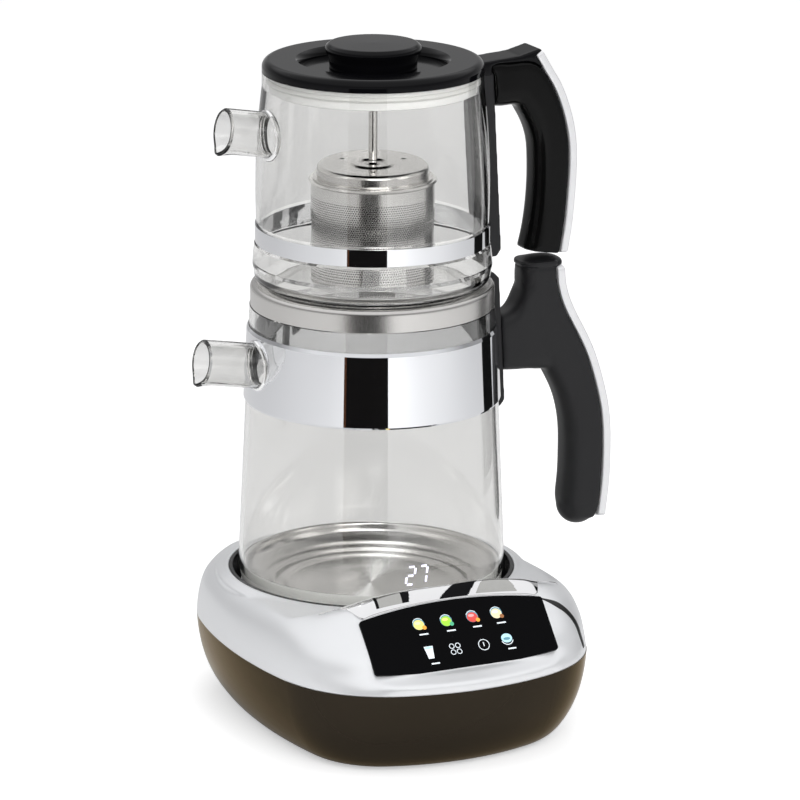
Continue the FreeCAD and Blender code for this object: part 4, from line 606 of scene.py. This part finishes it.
# Painted reflections of the arch, patches painted dark and grey where the chrome would mirror dark things:
# tone, left edge and its gain towards the ridge, right edge and its gain, first and last share of the depth.
# The first that holds a place gives its tone, 1 dark or 2 grey painted reflection; the rest is bright.
ARCH_PAINTED_REFLECTIONS = ((1, -6.6, 16.5, 12.0, 12.0, 0.06, 1.0), (1, 8.0, 0.0, 58.0, 0.0, 0.94, 1.0),
               (2, 16.5, 11.0, 44.5, -8.0, 0.1, 0.88), (1, -46.0, 0.0, -44.0, 0.0, 0.12, 0.6),
               (1, -29.0, 0.0, -25.0, 3.0, 0.12, 0.6), (2, -46.0, 0.0, -25.0, 3.0, 0.12, 0.6))
# Materials of the painted dark and grey reflections on the arch.
REFLECTION_PAINTS = [plain("chrome_painted_dark_reflection", (0.012, 0.012, 0.013), 0.06, 1.0, 3.0, 0.004),
          plain("chrome_painted_grey_reflection", (0.50, 0.50, 0.48), 0.14, 1.0, 3.0, 0.004)]


def painted_reflection_tone(x, share):
    """Index of the material at a place across the arch and a share of its depth: 0 for the plain chrome, 1 and
    2 for the painted dark and grey reflections.
    """
    for tone, left, left_gain, right, right_gain, low, high in ARCH_PAINTED_REFLECTIONS:
        if left + left_gain * share < x < right + right_gain * share and low < share < high:
            return tone
    return 0


def chrome_arch():
    """Bright crescent from the top of the glass over the crest, thinning to a line at both ends, with dark and
    grey reflections painted on it.
    """
    columns, rows = 320, 22
    points = np.empty((columns, rows, 3))
    across = np.linspace(ARCH_LEFT_X, ARCH_RIGHT_X, columns)
    for i, x in enumerate(across):
        ridge = ARCH_RIDGE_Y + x * x / ARCH_RIDGE_BEND
        corner = min(abs(x), PANEL_CORNER_X)
        rise = PANEL_HEAD_U - PANEL_HEAD_RADIUS + math.sqrt(PANEL_HEAD_RADIUS ** 2 - corner ** 2)
        foot = on_fascia(x, rise + ARCH_LINE)[1]
        foot += (ridge - ARCH_LINE - foot) * float(ease(abs(x), *FOOT_SPAN))
        for j, share in enumerate(np.linspace(0, 1, rows)):
            crown = ARCH_CROWN * (1 - (2 * share - 1) ** 2) * (1 - float(ease(abs(x), *CROWN_SPAN)))
            points[i, j] = dropped(x, foot + (ridge - foot) * share, 0.1) + (0, 0, crown)
    low = points[..., 2].copy()
    points[..., 2] = np.maximum(averaged(low.copy(), 24), low)
    for _ in range(6):
        points[1:-1, 1:-1] = (points[:-2, 1:-1] + points[2:, 1:-1] + points[1:-1, :-2] + points[1:-1, 2:]) / 4
    faces = [face[::-1] for face in grid_faces(columns, rows)]
    arch = add_piece("arch_skin", points.reshape(-1, 3), faces, "base", "chrome")
    # The painted reflections' materials, given face by face below.
    for material in REFLECTION_PAINTS:
        arch.data.materials.append(material)
    for k, polygon in enumerate(arch.data.polygons):
        polygon.material_index = painted_reflection_tone(across[k // (rows - 1)], (k % (rows - 1) + 0.5) / (rows - 1))
    thickened(arch, 0.7, -0.5)
    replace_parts(arch, "chrome_arch")


INLAY_TIP, INLAY_GAIN = 0.6, 1.7  # half its width at the glass, and what it gains down the shoulder
INLAY_LIFT, INLAY_FALL = 0.28, 0.2  # its height above the skin, and what it loses at its edges
INLAY_PATH = np.array([(58.5, -108.0, 87.0), (65.5, -108.0, 84.0), (72.5, -108.0, 79.5), (77.0, -110.0, 75.0),
                       (80.0, -112.5, 70.0), (82.5, -115.0, 64.5), (84.0, -116.5, 56.0)])


def side_inlay(stations=90, across_count=9):
    """Dark strip that leaves the glass's upper right corner and runs down the shoulder to the seam."""
    core = np.array([45.0, -75.0, 58.0])  # inside the shoulder: the strip is cast outwards from here
    knots, shares = np.linspace(0, 1, len(INLAY_PATH)), np.linspace(0, 1, stations)
    centre = averaged(np.stack([np.interp(shares, knots, INLAY_PATH[:, k]) for k in range(3)], 1), 120)
    points = []
    for i, aim in enumerate(centre):
        along = centre[min(i + 1, len(centre) - 1)] - centre[max(i - 1, 0)]
        across = unit(np.cross(along, unit(aim - core)))
        half = INLAY_TIP + INLAY_GAIN * float(ease(i, 0, 26))
        for side in np.linspace(-1, 1, across_count):
            start = core + (aim + across * half * side - core) * 1.7
            place, normal, _, _ = cover_tree.ray_cast(Vector(start), Vector(core - start).normalized())
            points.append(np.array(place + normal * (INLAY_LIFT - INLAY_FALL * side ** 4)))
    inlay = add_piece("shoulder_inlay", points, grid_faces(stations, across_count), "base", "trim_black")
    thickened(inlay, 0.8, 1.0)
    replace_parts(inlay, "side_trim")


chrome_arch()
side_inlay()

# ---- marks on the control glass


def ink(name, colour, glow):
    """Printed mark lit from behind, a little uneven."""
    s = Shader(name)
    grain = s.noise(0.5, 2.0)
    shade = s.mixed(s.scaled(grain, 0.0, 0.5), colour, tuple(c * 0.75 for c in colour))
    return s.finish(s.surface(Base_Color=shade, Emission_Color=shade, Emission_Strength=glow, Roughness=0.4))


INKS = {name: ink("ink_" + name, colour, glow) for name, colour, glow in (
    ("white", (0.80, 0.86, 0.90), 0.25), ("ice", (0.45, 0.72, 0.85), 0.35),
    ("yellow", (0.85, 0.72, 0.22), 0.3), ("orange", (0.90, 0.38, 0.05), 0.3),
    ("green", (0.35, 0.68, 0.05), 0.35), ("leaf", (0.08, 0.45, 0.25), 0.3),
    ("red", (0.62, 0.07, 0.06), 0.35), ("rose", (0.80, 0.40, 0.40), 0.3),
    ("cream", (0.85, 0.70, 0.45), 0.35), ("brown", (0.30, 0.12, 0.04), 0.3),
    ("slate", (0.12, 0.30, 0.38), 0.25))}


class Mark:
    """Flat picture on the control glass, built of layers, each a little above the one before."""

    def __init__(self, name, x, u):
        self.name, self.x, self.u, self.layers = name, x, u, 0
        self.vertices, self.faces, self.inks = [], [], []

    def layer(self, colour, *polygons):
        self.layers += 1
        for points in polygons:
            first = len(self.vertices)
            self.vertices += [on_fascia(self.x + x, self.u + u, 0.10 + 0.02 * self.layers) for x, u in points]
            self.faces.append(tuple(range(first, first + len(points))))
            self.inks.append(colour)
        return self

    def disc(self, colour, x, u, radius, squash=1.0):
        turns = np.linspace(0, 2 * math.pi, 28, endpoint=False)
        return self.layer(colour, [(x + radius * math.cos(t), u + radius * squash * math.sin(t))
                                   for t in turns])

    def ring(self, colour, x, u, radius, width, start=0.0, end=360.0):
        turns = np.radians(np.linspace(start, end, 33))
        inner, outer = radius - width / 2, radius + width / 2
        return self.layer(colour, *([(x + r * math.cos(t), u + r * math.sin(t))
                                     for r, t in ((inner, a), (outer, a), (outer, b), (inner, b))]
                                    for a, b in zip(turns[:-1], turns[1:])))

    def bar(self, colour, x, u, length, height):
        half, rise = length / 2, height / 2
        return self.layer(colour, [(x - half, u - rise), (x + half, u - rise), (x + half, u + rise),
                                   (x - half, u + rise)])

    def place(self):
        palette = sorted(set(self.inks))
        item = add_piece(self.name, self.vertices, self.faces, "base", "panel_black", INKS[palette[0]], False)
        for colour in palette[1:]:
            item.data.materials.append(INKS[colour])
        for polygon, colour in zip(item.data.polygons, self.inks):
            polygon.material_index = palette.index(colour)


def cup(name, x, u, drink, light, handle):
    """Cup seen from above, with a handle and a bar below it."""
    mark = Mark(name, x, u)
    mark.disc("slate", 0, 0.3, 3.7).disc(drink, 0, -0.2, 3.3, 0.95).disc(light, -0.5, 0.9, 1.9, 0.5)
    mark.ring("white", 0, 0.3, 3.6, 0.35, 40, 160).disc(handle, 2.9, -2.3, 1.3)
    mark.bar("white", 1.3, -6.4, 5.6, 0.9).place()


cup("mark_drink_1", -22.7, 10.0, "yellow", "cream", "orange")
cup("mark_drink_2", -5.3, 10.0, "green", "yellow", "leaf")
cup("mark_drink_3", 11.4, 10.2, "red", "rose", "orange")
cup("mark_drink_4", 26.8, 10.4, "cream", "white", "brown")
tumbler = Mark("mark_tumbler", -21.2, -8.0)
tumbler.layer("white", [(-1.9, -3.9), (1.6, -3.9), (2.7, 3.9), (-2.9, 3.9)])
tumbler.disc("ice", -0.1, 3.0, 2.5, 0.28).bar("white", 1.3, -7.2, 5.2, 0.9).place()
programs = Mark("mark_programs", -5.0, -8.0)
for x in (-1.9, 1.9):
    for u in (-1.9, 1.9):
        programs.ring("white", x, u, 1.45, 0.42)
programs.place()
Mark("mark_power", 13.0, -8.0).ring("white", 0, 0, 3.3, 0.42).bar("white", 0, 0.3, 0.55, 2.6).place()
boil = Mark("mark_boil", 28.2, -6.5)
boil.disc("ice", 0, 0.6, 3.4, 0.85).disc("slate", 0, 0.2, 2.2, 0.4).ring("white", 0, 0.2, 3.7, 0.5, 200, 340)
boil.bar("white", 1.4, -6.2, 5.0, 0.9).place()

# ---- the base's lit display seen in the kettle's glass, painted on it as glowing figures

SEGMENTS = {"2": "abged", "7": "abc"}
GLASS_FOOT_Z, GLASS_FOOT_RADIUS, GLASS_BEND_RADIUS, GLASS_FLARE = 75.6, 77.0, 78.0, 0.06


# Painted glow of the display seen in the glass; the glass gives off no light itself.
def painted_display_glow():
    s = Shader("painted_display_glow")
    light = s.mixed(s.noise(3.0, 1.0), (0.90, 0.88, 1.0), (0.74, 0.72, 1.0))
    return s.finish(s.surface(Base_Color=(0.9, 0.9, 1.0), Emission_Color=light, Emission_Strength=1.1,
                              Roughness=0.5))


def painted_display_figures(text, azimuth, z, width=4.7, height=10.8, pitch=7.4, line=1.25, lean=0.10, gap=0.16,
                proud=0.35):
    """Painted glow: the base's display as seen in the glass, drawn as seven-segment figures that follow the
    glass's front wall; the gap is a share of a bar.
    """
    half, rise = width / 2, height / 2
    bars = {"a": (-half, rise, half, rise), "b": (half, 0, half, rise), "c": (half, -rise, half, 0),
            "d": (-half, -rise, half, -rise), "e": (-half, -rise, -half, 0), "g": (-half, 0, half, 0)}
    vertices, faces = [], []
    for k, figure in enumerate(text):
        middle = (k - (len(text) - 1) / 2) * pitch
        for segment in SEGMENTS[figure]:
            x0, z0, x1, z1 = bars[segment]
            level = z0 == z1
            first = len(vertices)
            for share in np.linspace(gap, 1 - gap, 6):
                for side in (-0.5, 0.5):
                    flat = x0 + (x1 - x0) * share + (0 if level else side * line)
                    high = z0 + (z1 - z0) * share + (side * line if level else 0)
                    angle = math.radians(azimuth) + (middle + flat + lean * high) / GLASS_BEND_RADIUS
                    reach = GLASS_FOOT_RADIUS + (high + z - GLASS_FOOT_Z) * GLASS_FLARE + proud
                    vertices.append((reach * math.sin(angle), -reach * math.cos(angle), z + high))
            faces += [(a, a + 1, a + 3, a + 2) for a in range(first, len(vertices) - 2, 2)]
    add_piece("painted_display_figures", vertices, faces, "kettle", "glass", painted_display_glow(), False)


painted_display_figures("27", -5.4, 101.0)

# ---- handles


def soft_skin(item, voxel, rounds):
    """Rounds the edges of a moulded handle piece."""
    remesh = item.modifiers.new("skin", "REMESH")
    remesh.mode = "VOXEL"
    remesh.voxel_size = voxel * MM
    remesh.use_smooth_shade = True
    smooth = item.modifiers.new("rounding", "SMOOTH")
    smooth.factor = 0.5
    smooth.iterations = rounds


for node, voxel, rounds in (("teapot_grip", 1.0, 16), ("teapot_grip_cap", 0.8, 10),
                            ("kettle_handle_mount", 0.7, 8), ("teapot_handle_mount", 0.7, 8)):
    soft_skin(frame["nodes"][node], voxel, rounds)


def merged(name, node, body, swellings, voxel, rounds, floor=0.0):
    """Copy of a handle piece, squashed below a floor, with swellings melted into it."""
    form = copied(node)
    for vertex in form.verts:
        vertex.co.z = max(vertex.co.z, floor * MM + (vertex.co.z - floor * MM) * 0.2)
    for centre, radii, power in swellings:
        made = bmesh.ops.create_uvsphere(form, u_segments=64, v_segments=40, radius=1.0)
        for vertex in made["verts"]:
            reach = sum(abs(c) ** power for c in vertex.co) ** (1 / power)
            vertex.co = Vector(in_row([centre[k] + vertex.co[k] / reach * radii[k] for k in range(3)]))
    soft_skin(stand_in(name, node, form, body), voxel, rounds)


def outer_line(node, count=120, margin=0.4):
    """Outer edge of a handle strip as (reach, level) points about the axis, from foot to head."""
    mesh = frame["nodes"][node].data
    tree = BVHTree.FromPolygons([v.co for v in mesh.vertices], [list(p.vertices) for p in mesh.polygons])
    levels = [v.co.z for v in mesh.vertices]
    line = []
    for z in np.linspace(min(levels) + margin * MM, max(levels) - margin * MM, count):
        place = tree.ray_cast(Vector((1.0, AXIS.y, z)), Vector((-1, 0, 0)))[0]
        if place is not None:
            line.append(((place.x - AXIS.x) / MM, place.z / MM))
    return line


def handle_strip(name, node, body, half, depth, foot=(), head=(), proud=0.3, edge=0.9):
    """Bright strip set round the outer edge of a grip, with rounded edges and ends."""
    line = averaged(respaced(np.array([*foot, *outer_line(node), *head]), 150), 30)
    section = []
    for x, y, start in ((proud, half, 0), (proud, -half, -90), (-depth, -half, -180), (-depth, half, 90)):
        for turn in np.radians(np.linspace(start, start + 90, 6)):
            section.append((x - math.copysign(edge, x) + edge * math.cos(turn),
                            y - math.copysign(edge, y) + edge * math.sin(turn)))
    section.sort(key=lambda point: math.atan2(point[1] / half, (point[0] + depth / 2) / depth * 2))
    vertices = []
    for i, (reach, level) in enumerate(line):
        along = line[min(i + 1, len(line) - 1)] - line[max(i - 1, 0)]
        along = along / math.hypot(*along)
        outward = np.array([along[1], -along[0]])
        end = min(i, len(line) - 1 - i)
        shrink = 1 - 0.35 * (1 - min(end / 2, 1.0)) ** 2
        for out, side in section:
            offset = outward * ((out + depth / 2) * shrink - depth / 2)
            vertices.append((reach + offset[0], side * shrink, level + offset[1]))
    around = len(section)
    faces = grid_faces(len(line), around, close=True)
    faces += [tuple(range(around)), tuple(range(len(vertices) - 1, len(vertices) - 1 - around, -1))]
    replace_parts(add_piece(name, vertices, faces, body, "strip_silver"), node)


# Swellings about the axis: centre, radii, and 2 for round or more for boxy.
GRIP_TAIL = ((136.6, 0, 105.8), (13.0, 11.6, 12.8), 2.0)
CAP_NECK = ((106.5, 0, 250.0), (11.0, 11.1, 11.0), 3.4)
CAP_LIP = ((108.9, 0, 258.0), (13.6, 11.2, 4.4), 2.5)
merged("kettle_grip_skin", "kettle_grip", "kettle", [GRIP_TAIL], 1.0, 24, floor=98.0)
merged("kettle_cap_skin", "kettle_grip_cap", "kettle", [CAP_NECK, CAP_LIP], 0.5, 14)
handle_strip("kettle_strip", "kettle_grip_strip", "kettle", 11.9, 4.6, foot=[(149.8, 97.8), (150.8, 99.6)])
handle_strip("teapot_strip", "teapot_grip_strip", "teapot", 11.9, 4.4, head=[(104.5, 387.0), (103.2, 388.6)])

# ---- glass of the two vessels

# Level and radius of each vessel's wall where its spout grows out of it.
KETTLE_ROOT, TEAPOT_ROOT = (214.5, 74.4), (350.5, 66.8)
SPOUT_RADIUS, SPOUT_TILT = 13.2, math.radians(10.0)


def spout_ring(name, body, root_z, wall_radius, tube=1.7, rings=72, around=14):
    """Thick seam of glass where a spout is welded to its vessel."""
    aim, side = np.array([-math.cos(SPOUT_TILT), 0, math.sin(SPOUT_TILT)]), np.array([0, 1.0, 0])
    rise = np.cross(side, aim)
    foot = np.array([0, 0, root_z - wall_radius * math.tan(SPOUT_TILT)])
    centre = []
    for turn in np.linspace(0, 2 * math.pi, rings, endpoint=False):
        offset = SPOUT_RADIUS * (side * math.cos(turn) + rise * math.sin(turn))
        reach = (math.sqrt(wall_radius ** 2 - offset[1] ** 2) + offset[0]) / math.cos(SPOUT_TILT)
        centre.append(foot + offset + aim * reach)
    centre = np.array(centre)
    vertices = []
    for i in range(rings):
        along = unit(centre[(i + 1) % rings] - centre[i - 1])
        outward = unit(np.cross(along, aim))
        upright = np.cross(along, outward)
        for turn in np.linspace(0, 2 * math.pi, around, endpoint=False):
            vertices.append(centre[i] + tube * (outward * math.cos(turn) + upright * math.sin(turn)))
    add_piece(name, vertices, grid_faces(rings, around, wrap=True, close=True), body, "glass")


def poured(name, node, body, root_z, wall_radius, length=8.0, forward=2.0, down=1.6):
    """Copy of a vessel whose spout has its lower edge drawn out to a pouring lip."""
    aim = Vector((-math.cos(SPOUT_TILT), 0, math.sin(SPOUT_TILT)))
    rise = Vector((math.sin(SPOUT_TILT), 0, math.cos(SPOUT_TILT)))
    root = Vector(in_row([-wall_radius, 0, root_z]))
    form = copied(node)
    mouth = max((vertex.co - root).dot(aim) for vertex in form.verts)
    for back in np.linspace(0.15, 1, 6) * length * MM:
        bmesh.ops.bisect_plane(form, geom=form.verts[:] + form.edges[:] + form.faces[:],
                               plane_co=root + aim * (mouth - back), plane_no=aim)
    for vertex in form.verts:
        place = vertex.co - root
        share = float(ease(place.dot(aim), mouth - length * MM, mouth))
        low, across = -place.dot(rise), place.y
        if share > 0 and low > 0:
            vertex.co += (aim * forward - rise * down) * share * (low / math.hypot(low, across)) ** 8 * MM
    stand_in(name, node, form, body)


spout_ring("kettle_spout_ring", "kettle", *KETTLE_ROOT)
spout_ring("teapot_spout_ring", "teapot", *TEAPOT_ROOT)
poured("kettle_vessel", "kettle_glass", "kettle", *KETTLE_ROOT)
poured("teapot_vessel", "teapot_glass", "teapot", *TEAPOT_ROOT)

# ---- turned pieces: steel floor and knob

# Profiles as (radius, level) about the axis; the seal meets the steel at its rolled rim.
PAN = ((0.0, 73.6), (30.0, 73.3), (50.0, 73.9), (53.0, 75.6), (56.0, 75.4), (58.0, 74.6), (61.0, 76.6),
       (65.0, 77.0), (68.0, 78.4), (71.6, 81.5), (73.2, 84.0), (74.0, 88.4), (74.8, 89.0), (75.4, 88.6))
PAN_SEAL = ((75.4, 88.6), (75.7, 84.0), (75.6, 76.2), (74.4, 72.2), (60.0, 71.9), (0.0, 71.8))
KNOB = ((0.0, 399.5), (25.6, 399.3), (26.3, 398.9), (26.6, 398.5), (27.6, 397.8), (28.0, 396.2),
        (27.7, 394.8), (26.8, 393.0), (26.0, 391.2), (25.6, 389.4), (25.5, 385.1), (0.0, 385.1))


def lathe(name, profile, step, body, slot, material=None, rings=160):
    """Turned piece whose profile has its corners rounded over about three steps."""
    profile = np.array(profile)
    profile = averaged(respaced(profile, int(run_of(profile)[-1] / step) + 2), 3)
    turns = np.linspace(0, 2 * math.pi, rings, endpoint=False)
    vertices = [(r * math.cos(t), r * math.sin(t), z) for t in turns for r, z in profile]
    faces = [face[::-1] for face in grid_faces(rings, len(profile), wrap=True)]
    return add_piece(name, vertices, faces, body, slot, material)


def spun_steel():
    """Steel disc spun on a lathe: fine rings, and a painted highlight, a bright fan across the middle along
    one fixed heading.
    """
    s = Shader("spun_steel")
    x, y, _ = s.about_axis()
    # Painted highlight: brightest along one fixed heading through the middle, where a spun disc's highlight
    # would lie.
    heading = s.maths("ARCTAN2", x, s.times(y, -1.0))
    painted_highlight_fan = s.maths("POWER", s.maths("ABSOLUTE", s.maths("COSINE", s.maths("ADD", heading, 0.57))), 40.0)
    reach = s.maths("SQRT", s.maths("ADD", s.times(x, x), s.times(y, y)))
    ring = s.node("ShaderNodeCombineXYZ")
    s.link(reach, ring.inputs["X"])
    lines = s.noise(0.5, 5.0, vector=ring.outputs[0])
    tone = s.mixed(lines, (0.36, 0.35, 0.335), (0.60, 0.59, 0.57))
    # The painted highlight lightens the steel's colour along the fan.
    tone = s.mixed(s.scaled(painted_highlight_fan, 0.0, 1.0), tone, (1.0, 1.0, 0.99))
    return s.finish(s.surface(Base_Color=tone, Metallic=1.0, Roughness=s.scaled(lines, 0.16, 0.30),
                              Normal=s.bump(lines, 0.02, 0.3)))


lathe("kettle_pan", PAN, 0.8, "kettle", "steel", spun_steel())
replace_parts(lathe("kettle_pan_seal", PAN_SEAL, 0.8, "kettle", "steel", FINISHES["silicone"]), "kettle_floor")
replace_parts(lathe("knob_form", KNOB, 0.3, "lid", "gloss_black"), "lid_knob")

# ---- ribs of the well


def well_ribs(count=96, foot=62.0, head=82.0, end=1.2, radius=82.4, depth=0.8, width=1.5, across=7):
    """Upright ribs round the inside of the well, running out into the wall at their heads."""
    vertices, faces = [], []
    for k in range(count):
        middle = 2 * math.pi * (k + 0.5) / count
        first = len(vertices)
        for z in (foot, head - end, head):
            for share in np.linspace(-1, 1, across):
                reach = radius - (depth * (1 - share ** 2) if z < head else 0.0)
                angle = middle + share * width / 2 / radius
                vertices.append((reach * math.cos(angle), reach * math.sin(angle), z))
        faces += grid_faces(3, across, first=first)
    add_piece("well_ribs", vertices, faces, "base", "liner_black")


well_ribs()

# ---- stage

# In metres, for all that stands round the object.
FLOOR_HALF, CARD_DISTANCE, CARD_HEIGHT, AIM_HEIGHT = 40.0, 0.64, 0.36, 0.2


def flat_stage(name, corners, material):
    mesh = bpy.data.meshes.new(name)
    mesh.from_pydata(corners, [], [tuple(range(len(corners)))])
    mesh.materials.append(material)
    item = linked(name, mesh)
    return item


def floor_paper():
    """Pale paper that a picture shows as white outside the shadow."""
    s = Shader("floor_paper")
    grain = s.noise(900.0, 2.0)
    paper = s.surface(Base_Color=s.mixed(s.scaled(grain, 0.0, 0.3), (0.90, 0.90, 0.90), (0.88, 0.88, 0.88)),
                      Roughness=0.9, Specular_IOR_Level=0.1)
    glow = s.node("ShaderNodeEmission")
    s.feed(glow.inputs, ((1.0, 1.0, 1.0), 0.45))
    lit = s.node("ShaderNodeAddShader")
    s.feed(lit.inputs, (paper, glow.outputs[0]))
    rays = s.node("ShaderNodeLightPath").outputs
    seen = s.maths("MAXIMUM", rays["Is Camera Ray"], s.times(rays["Is Transmission Ray"], 0.35))
    return s.finish(s.blend(seen, paper, lit.outputs[0]))


flat_stage("floor", [(x * FLOOR_HALF, y * FLOOR_HALF, 0.0) for x, y in ((-1, -1), (1, -1), (1, 1), (-1, 1))],
           floor_paper())


def toward(azimuth, distance, height):
    """Point at an azimuth about the axis, counted from the camera's side."""
    angle = AZIMUTH + math.radians(azimuth)
    return Vector((AXIS.x + math.sin(angle) * distance, AXIS.y - math.cos(angle) * distance, height))


def card(name, colour, left, right):
    """Upright card between two azimuths that only bright surfaces mirror."""
    s = Shader(name)
    shade = s.mixed(s.noise(300.0, 1.0), colour, tuple(c * 0.8 for c in colour))
    paint = s.finish(s.surface(Base_Color=shade, Roughness=1.0, Specular_IOR_Level=0.0))
    corners = [toward(azimuth, CARD_DISTANCE, height) for azimuth, height in (
        (left, 0.0), (right, 0.0), (right, CARD_HEIGHT), (left, CARD_HEIGHT))]
    item = flat_stage(name, corners, paint)
    item.visible_camera = item.visible_diffuse = item.visible_shadow = False


card("dark_card", (0.012, 0.011, 0.011), -21.5, 13.5)
card("brown_card", (0.12, 0.05, 0.025), -23.5, -21.5)
card("side_card", (0.01, 0.01, 0.01), 113.0, 131.0)


def lamp(name, azimuth, distance, height, size, power):
    """Softbox that faces the middle of the object."""
    data = bpy.data.lights.new(name, "AREA")
    data.shape = "RECTANGLE"
    data.size, data.size_y = size
    data.energy = power
    item = linked(name, data)
    place = toward(azimuth, distance, height)
    aim = Vector((AXIS.x, AXIS.y, AIM_HEIGHT)) - place
    item.matrix_world = Matrix.Translation(place) @ aim.to_track_quat("-Z", "Y").to_matrix().to_4x4()
    item.visible_glossy = False


lamp("softbox_left", -62.0, 1.5, 1.1, (0.9, 1.3), 3.5)
lamp("softbox_front", 12.0, 1.5, 0.9, (1.2, 0.9), 15.0)
lamp("softbox_right", 66.0, 1.6, 0.9, (0.7, 1.2), 4.0)
lamp("softbox_top", 175.0, 0.5, 1.9, (1.1, 0.9), 7.0)

world = bpy.data.worlds.new("studio")
bpy.context.scene.world = world
sky = Tree(world, "ShaderNodeOutputWorld")


def backdrop(colour, strength):
    shade = sky.node("ShaderNodeBackground")
    sky.feed([shade.inputs["Color"], shade.inputs["Strength"]], (colour, strength))
    return shade.outputs[0]


def sky_shade(strength, *stops):
    """Background whose grey changes with height above the horizon."""
    ramp = sky.node("ShaderNodeValToRGB")
    elements = ramp.color_ramp.elements
    while len(elements) < len(stops):
        elements.new(0.5)
    for element, (place, grey) in zip(elements, stops):
        element.position = place
        element.color = (grey, grey, grey * 1.01, 1.0)
    sky.link(height, ramp.inputs["Fac"])
    return backdrop(ramp.outputs["Color"], strength)


# Diffuse surfaces see the light room, mirrors the mirror room, the camera and the glass plain white.
direction = sky.node("ShaderNodeSeparateXYZ")
sky.link(sky.node("ShaderNodeTexCoord").outputs["Generated"], direction.inputs[0])
height = direction.outputs["Z"]
light_room = sky_shade(0.62, (0.0, 0.45), (0.3, 0.55), (0.75, 1.0))
mirror_room = sky_shade(1.0, (0.0, 0.62), (0.16, 0.42), (0.36, 0.36), (0.52, 0.95), (1.0, 1.0))
rays = sky.node("ShaderNodeLightPath").outputs
room = sky.blend(rays["Is Glossy Ray"], light_room, mirror_room)
seen = sky.maths("MAXIMUM", rays["Is Camera Ray"], rays["Is Transmission Ray"])
sky.finish(sky.blend(seen, room, backdrop((1.0, 1.0, 1.0), 1.0)))

bpy.context.scene.view_settings.view_transform = "Standard"
